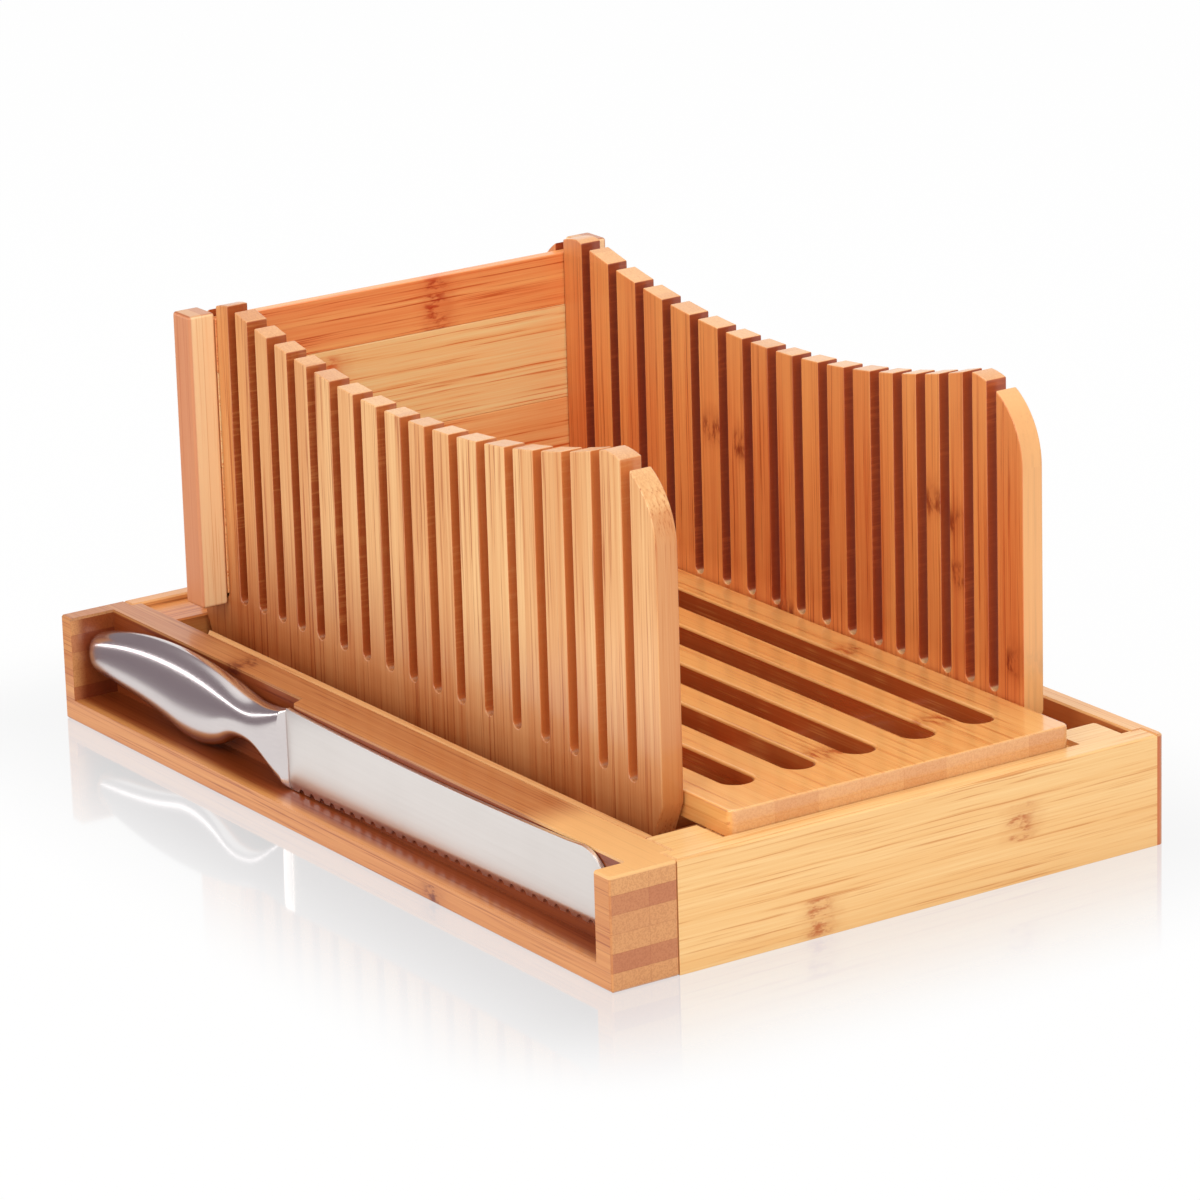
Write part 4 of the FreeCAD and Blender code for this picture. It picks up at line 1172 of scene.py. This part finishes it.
@dataclass
class Knife:
    """The serrated bread knife that lies in the knife block."""

    shop: Workshop
    tilt: float = 1.5
    heel: Vector = field(default_factory=lambda: Vector((10.9, 210.6, 8.3)) * MM)
    length: float = 195.6 * MM
    thickness: float = 1.6 * MM
    heel_height: float = 29.2 * MM
    tip_height: float = 25.8 * MM
    spine_sag: float = 1.8 * MM
    spine_steps: int = 24
    tip_round: float = 15.5 * MM
    bevel_height: float = 3.2 * MM
    edge_thickness: float = 0.4 * MM
    serrations: int = 28
    serration_pitch: float = 6.56 * MM
    serration_radius: float = 1.8 * MM
    serration_depth: float = 1.5 * MM
    first_serration: float = 6.7 * MM
    blade_softening: float = 0.08 * MM
    cap_inset: float = 0.15 * MM
    crease: float = 50.0

    def to_pocket(self, shape: bmesh.types.BMesh) -> None:
        """Lay a knife shape in its pocket, heel down and tip a little raised.

        Args:
            shape: The shape, with the heel at its origin.
        """
        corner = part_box("knife_block")[0]
        turn = Matrix.Rotation(math.radians(-self.tilt), 4, "X")
        place = Matrix.Translation(Vector((corner.x, corner.y, 0)) + self.heel)
        bmesh.ops.transform(shape, matrix=place @ turn, verts=shape.verts)

    def blade_outline(self) -> list[Corner]:
        """Trace the blade from the heel along the edge to the tip, and back along the spine.

        Returns:
            The outline's points, as distance behind the heel and height.
        """
        points: list[Corner] = [(0.0, 0.0)]
        rise = self.serration_depth - self.serration_radius
        reach = math.degrees(math.asin(-rise / self.serration_radius))
        for number in range(self.serrations):
            middle = -(self.first_serration + number * self.serration_pitch)
            points += arc((middle, rise), self.serration_radius, reach, 180 - reach, 8)
        points.append((-self.length, 0.0))
        fall = self.heel_height - self.tip_height
        chord = math.hypot(self.length, fall)
        radius = (chord ** 2 / 4 + self.spine_sag ** 2) / (2 * self.spine_sag)
        reach_up = radius - self.spine_sag
        centre = (-self.length / 2 - fall / chord * reach_up,
                  (self.heel_height + self.tip_height) / 2 + self.length / chord * reach_up)
        tip_middle = self.tip_round - self.length
        points += arc((tip_middle, self.tip_height - self.tip_round), self.tip_round, 180, 92, 18)
        for step in range(1, self.spine_steps + 1):
            y = tip_middle - tip_middle * step / self.spine_steps
            points.append((y, centre[1] - bow(radius, y - centre[0])))
        return points

    def build_blade(self) -> None:
        """Build the serrated blade with its ground edge."""
        half, edge_half = self.thickness / 2, self.edge_thickness / 2
        corners = [Vector((-half, y, z)) for y, z in self.blade_outline()]
        blade = raise_outline(corners, Vector((self.thickness, 0, 0)))
        everything = list(blade.verts) + list(blade.edges) + list(blade.faces)
        bmesh.ops.bisect_plane(blade, geom=everything, dist=WELD / 10, plane_no=Vector((0, 0, 1)),
                               plane_co=Vector((0, 0, self.bevel_height)))
        for vert in blade.verts:
            if vert.co.z < self.bevel_height:
                width = edge_half + (half - edge_half) * vert.co.z / self.bevel_height
                vert.co.x = math.copysign(width, vert.co.x)
        self.to_pocket(blade)
        steel = BrushedSteel("blade_steel", "blade_steel", "ece6e2", "dcd5d0", Axis.Y, 900.0, roughness=0.3)
        self.shop.piece("blade", blade, steel, "knife", "knife_blade", self.blade_softening, 1, self.crease)

    def build_grip(self) -> None:
        """Build the smooth steel grip through its rings."""
        grip = bmesh.new()
        form = GripForm()
        rings: list[list[bmesh.types.BMEdge]] = []
        for back in form.stations():
            ring = bmesh.ops.create_circle(grip, cap_ends=False, radius=1.0,
                                           segments=form.ring_points)["verts"]
            for vert in ring:
                vert.co = form.point(back, math.atan2(vert.co.y, vert.co.x))
            rings.append(list({edge for vert in ring for edge in vert.link_edges}))
        for first, second in zip(rings, rings[1:]):
            bmesh.ops.bridge_loops(grip, edges=first + second)
        for ring in (rings[0], rings[-1]):
            bmesh.ops.holes_fill(grip, edges=ring, sides=0)
        caps = [face for face in grip.faces if len(face.verts) > 4]
        bmesh.ops.inset_region(grip, faces=caps, thickness=self.cap_inset)
        self.to_pocket(grip)
        steel = BrushedSteel("grip_steel", "grip_steel", "ded6d4", "cec5c5", Axis.Y, 1400.0, roughness=0.2)
        piece = self.shop.piece("grip", grip, steel, "knife", "knife_grip", 0.0, 1, self.crease)
        smooth = piece.modifiers.new("smooth", "SUBSURF")
        smooth.levels = smooth.render_levels = 1

    def build(self) -> None:
        """Build the blade and the grip."""
        self.build_blade()
        self.build_grip()


@dataclass(frozen=True)
class Lamp:
    """A soft lamp that faces the object: its place, width, height, power in watts and colour."""

    name: str
    place: Vector
    width: float
    height: float
    power: float
    colour: str


@dataclass
class Studio:
    """The floor, cards, lamps, sky and camera."""

    sky_level: float = 0.72
    floor_size: float = 6.0
    floor_albedo: float = 0.8
    floor_veil: float = 0.95
    polish: float = 0.06
    mirror_near: float = 0.34
    mirror_reach: float = 0.09
    card_tone: str = "94898f"
    cards: tuple[tuple[str, Vector, Vector], ...] = (
        ("back_card", Vector((-4.0, 2.2, 0.0)), Vector((0.9, 2.2, 2.0))),
        ("floor_card", Vector((-1.6, 0.45, 0.001)), Vector((-0.137, 2.1, 0.001))),
        ("near_card", Vector((-1.6, 0.125, 0.001)), Vector((-0.137, 0.45, 0.001))))
    mirror_gap: float = 0.03
    lamps: tuple[Lamp, ...] = (
        Lamp("key_lamp", Vector((-0.5, -2.2, 1.4)), 1.1, 1.1, 18.0, "fff6ea"),
        Lamp("left_lamp", Vector((-2.1, -0.3, 1.2)), 1.2, 1.2, 16.0, "fff8f0"),
        Lamp("top_lamp", Vector((0.1, 0.5, 2.3)), 1.4, 1.4, 18.0, "ffffff"),
        Lamp("low_strip", Vector((-1.3, 2.0, 0.14)), 3.2, 0.12, 6.5, "ffffff"))
    lamp_aim: Vector = field(default_factory=lambda: Vector((0, 0, 0.06)))
    lens: float = 179.92
    sensor: float = 36.0
    azimuth: float = -33.7
    elevation: float = 17.48
    roll: float = -1.66
    stand: Vector = field(default_factory=lambda: Vector((-1.09174, -1.6435, 0.68617)))
    sight: float = 100.0

    def build(self) -> None:
        """Set up the whole studio."""
        bpy.context.scene.view_settings.view_transform = "Standard"
        self.build_floor()
        self.build_sky()
        for lamp in self.lamps:
            self.hang(lamp)
        for card in self.cards:
            self.build_card(*card)
        self.build_camera()

    def build_floor(self) -> None:
        """Lay the pale floor, which keeps a soft shadow and a faint reflection."""
        bench = NodeBench(bpy.data.materials.new("floor_white"))
        places = bench.split(bench.add("TexCoord").outputs["Object"])
        beyond = [bench.math("MAXIMUM", 0.0, abs(place - (low + high) / 2) - (high - low) / 2)
                  for place, low, high in zip(places[:2], cad_low, cad_high)]
        off = bench.math("SQRT", beyond[0] * beyond[0] + beyond[1] * beyond[1])
        mirror = bench.steps(off, self.mirror_reach, 0.0) * self.mirror_near
        path = bench.add("LightPath")
        to_camera = Wire(bench, path.outputs["Is Camera Ray"])
        seen = bench.math("MAXIMUM", to_camera, path.outputs["Is Glossy Ray"])
        base = bench.add("BsdfDiffuse", {"Color": (self.floor_albedo,) * 3 + (1.0,)})
        veil = bench.add("Emission", {"Strength": 1.0})
        veiled = bench.join("MixShader", seen * self.floor_veil, base, veil)
        polish = bench.add("BsdfGlossy", {"Roughness": self.polish})
        material = bench.finish(bench.join("MixShader", to_camera * mirror, veiled, polish))
        shape = bmesh.new()
        bmesh.ops.create_grid(shape, x_segments=1, y_segments=1, size=self.floor_size)
        to_scene("studio_floor", shape, material)

    def build_card(self, name: str, low: Vector, high: Vector) -> None:
        """Stand or lay a grey card, which only gloss sees, so that the steel gets its dark bands.

        Args:
            name: The card's name.
            low: Its first corner.
            high: The corner across from it.
        """
        bench = NodeBench(bpy.data.materials.new(name + "_grey"))
        far_off = bench.math("GREATER_THAN", bench.add("LightPath").outputs["Ray Length"], self.mirror_gap)
        grey = bench.add("Emission", {"Color": self.card_tone})
        material = bench.finish(bench.join("MixShader", far_off, bench.add("BsdfTransparent"), grey))
        shape = bmesh.new()
        bmesh.ops.create_grid(shape, x_segments=1, y_segments=1, size=0.5)
        if low.y == high.y:
            upright = Matrix.Rotation(math.radians(90), 3, "X")
            bmesh.ops.rotate(shape, verts=shape.verts, matrix=upright)
        fit(shape, low, high)
        card = to_scene(name, shape, material)
        for kind in ("camera", "diffuse", "transmission", "volume_scatter", "shadow"):
            setattr(card, "visible_" + kind, False)

    def build_sky(self) -> None:
        """Make the background white to the eye and to gloss, and a soft grey light to everything else."""
        bench = NodeBench(bpy.data.worlds.new("studio_sky"))
        path = bench.add("LightPath")
        seen = bench.math("MAXIMUM", path.outputs["Is Camera Ray"], path.outputs["Is Glossy Ray"])
        strength = bench.join("MapRange", seen, 0.0, 1.0, self.sky_level, 1.0)
        sky = bench.add("Background", {"Color": WHITE, "Strength": strength})
        bpy.context.scene.world = bench.finish(sky, "OutputWorld")

    def hang(self, lamp: Lamp) -> None:
        """Hang one lamp.

        Args:
            lamp: The lamp.
        """
        data = bpy.data.lights.new(lamp.name, "AREA")
        data.shape = "RECTANGLE"
        data.size, data.size_y = lamp.width, lamp.height
        data.energy = lamp.power
        data.color = tone(lamp.colour)[:3]
        hung = bpy.data.objects.new(lamp.name, data)
        hung.location = lamp.place
        hung.rotation_euler = (self.lamp_aim - lamp.place).to_track_quat("-Z", "Y").to_euler()
        bpy.context.scene.collection.objects.link(hung)

    def build_camera(self) -> None:
        """Stand the camera at the front left, a little above the object."""
        side, rise, roll = (math.radians(turn) for turn in (self.azimuth, self.elevation, self.roll))
        back = Vector((math.sin(side) * math.cos(rise), -math.cos(side) * math.cos(rise), math.sin(rise)))
        level_right = (-back).cross(Vector((0, 0, 1))).normalized()
        level_up = level_right.cross(-back)
        right = math.cos(roll) * level_right + math.sin(roll) * level_up
        up = -math.sin(roll) * level_right + math.cos(roll) * level_up
        data = bpy.data.cameras.new("camera")
        data.sensor_fit = "HORIZONTAL"
        data.sensor_width, data.lens, data.clip_end = self.sensor, self.lens, self.sight
        camera = bpy.data.objects.new("camera", data)
        camera.matrix_world = Matrix.Translation(self.stand) @ Matrix((right, up, back)).transposed().to_4x4()
        bpy.context.scene.collection.objects.link(camera)
        bpy.context.scene.camera = camera


def main() -> None:
    """Build the slicer piece by piece, then the studio."""
    logging.basicConfig(level=logging.INFO, format="%(name)s: %(message)s")
    shop = Workshop()
    for assembly in (Tray(shop), SlattedBoard(shop), Guides(shop), BackPanel(shop), Knife(shop), Studio()):
        assembly.build()
        log.info("%s done", type(assembly).__name__)


if __name__ == "__main__":
    main()
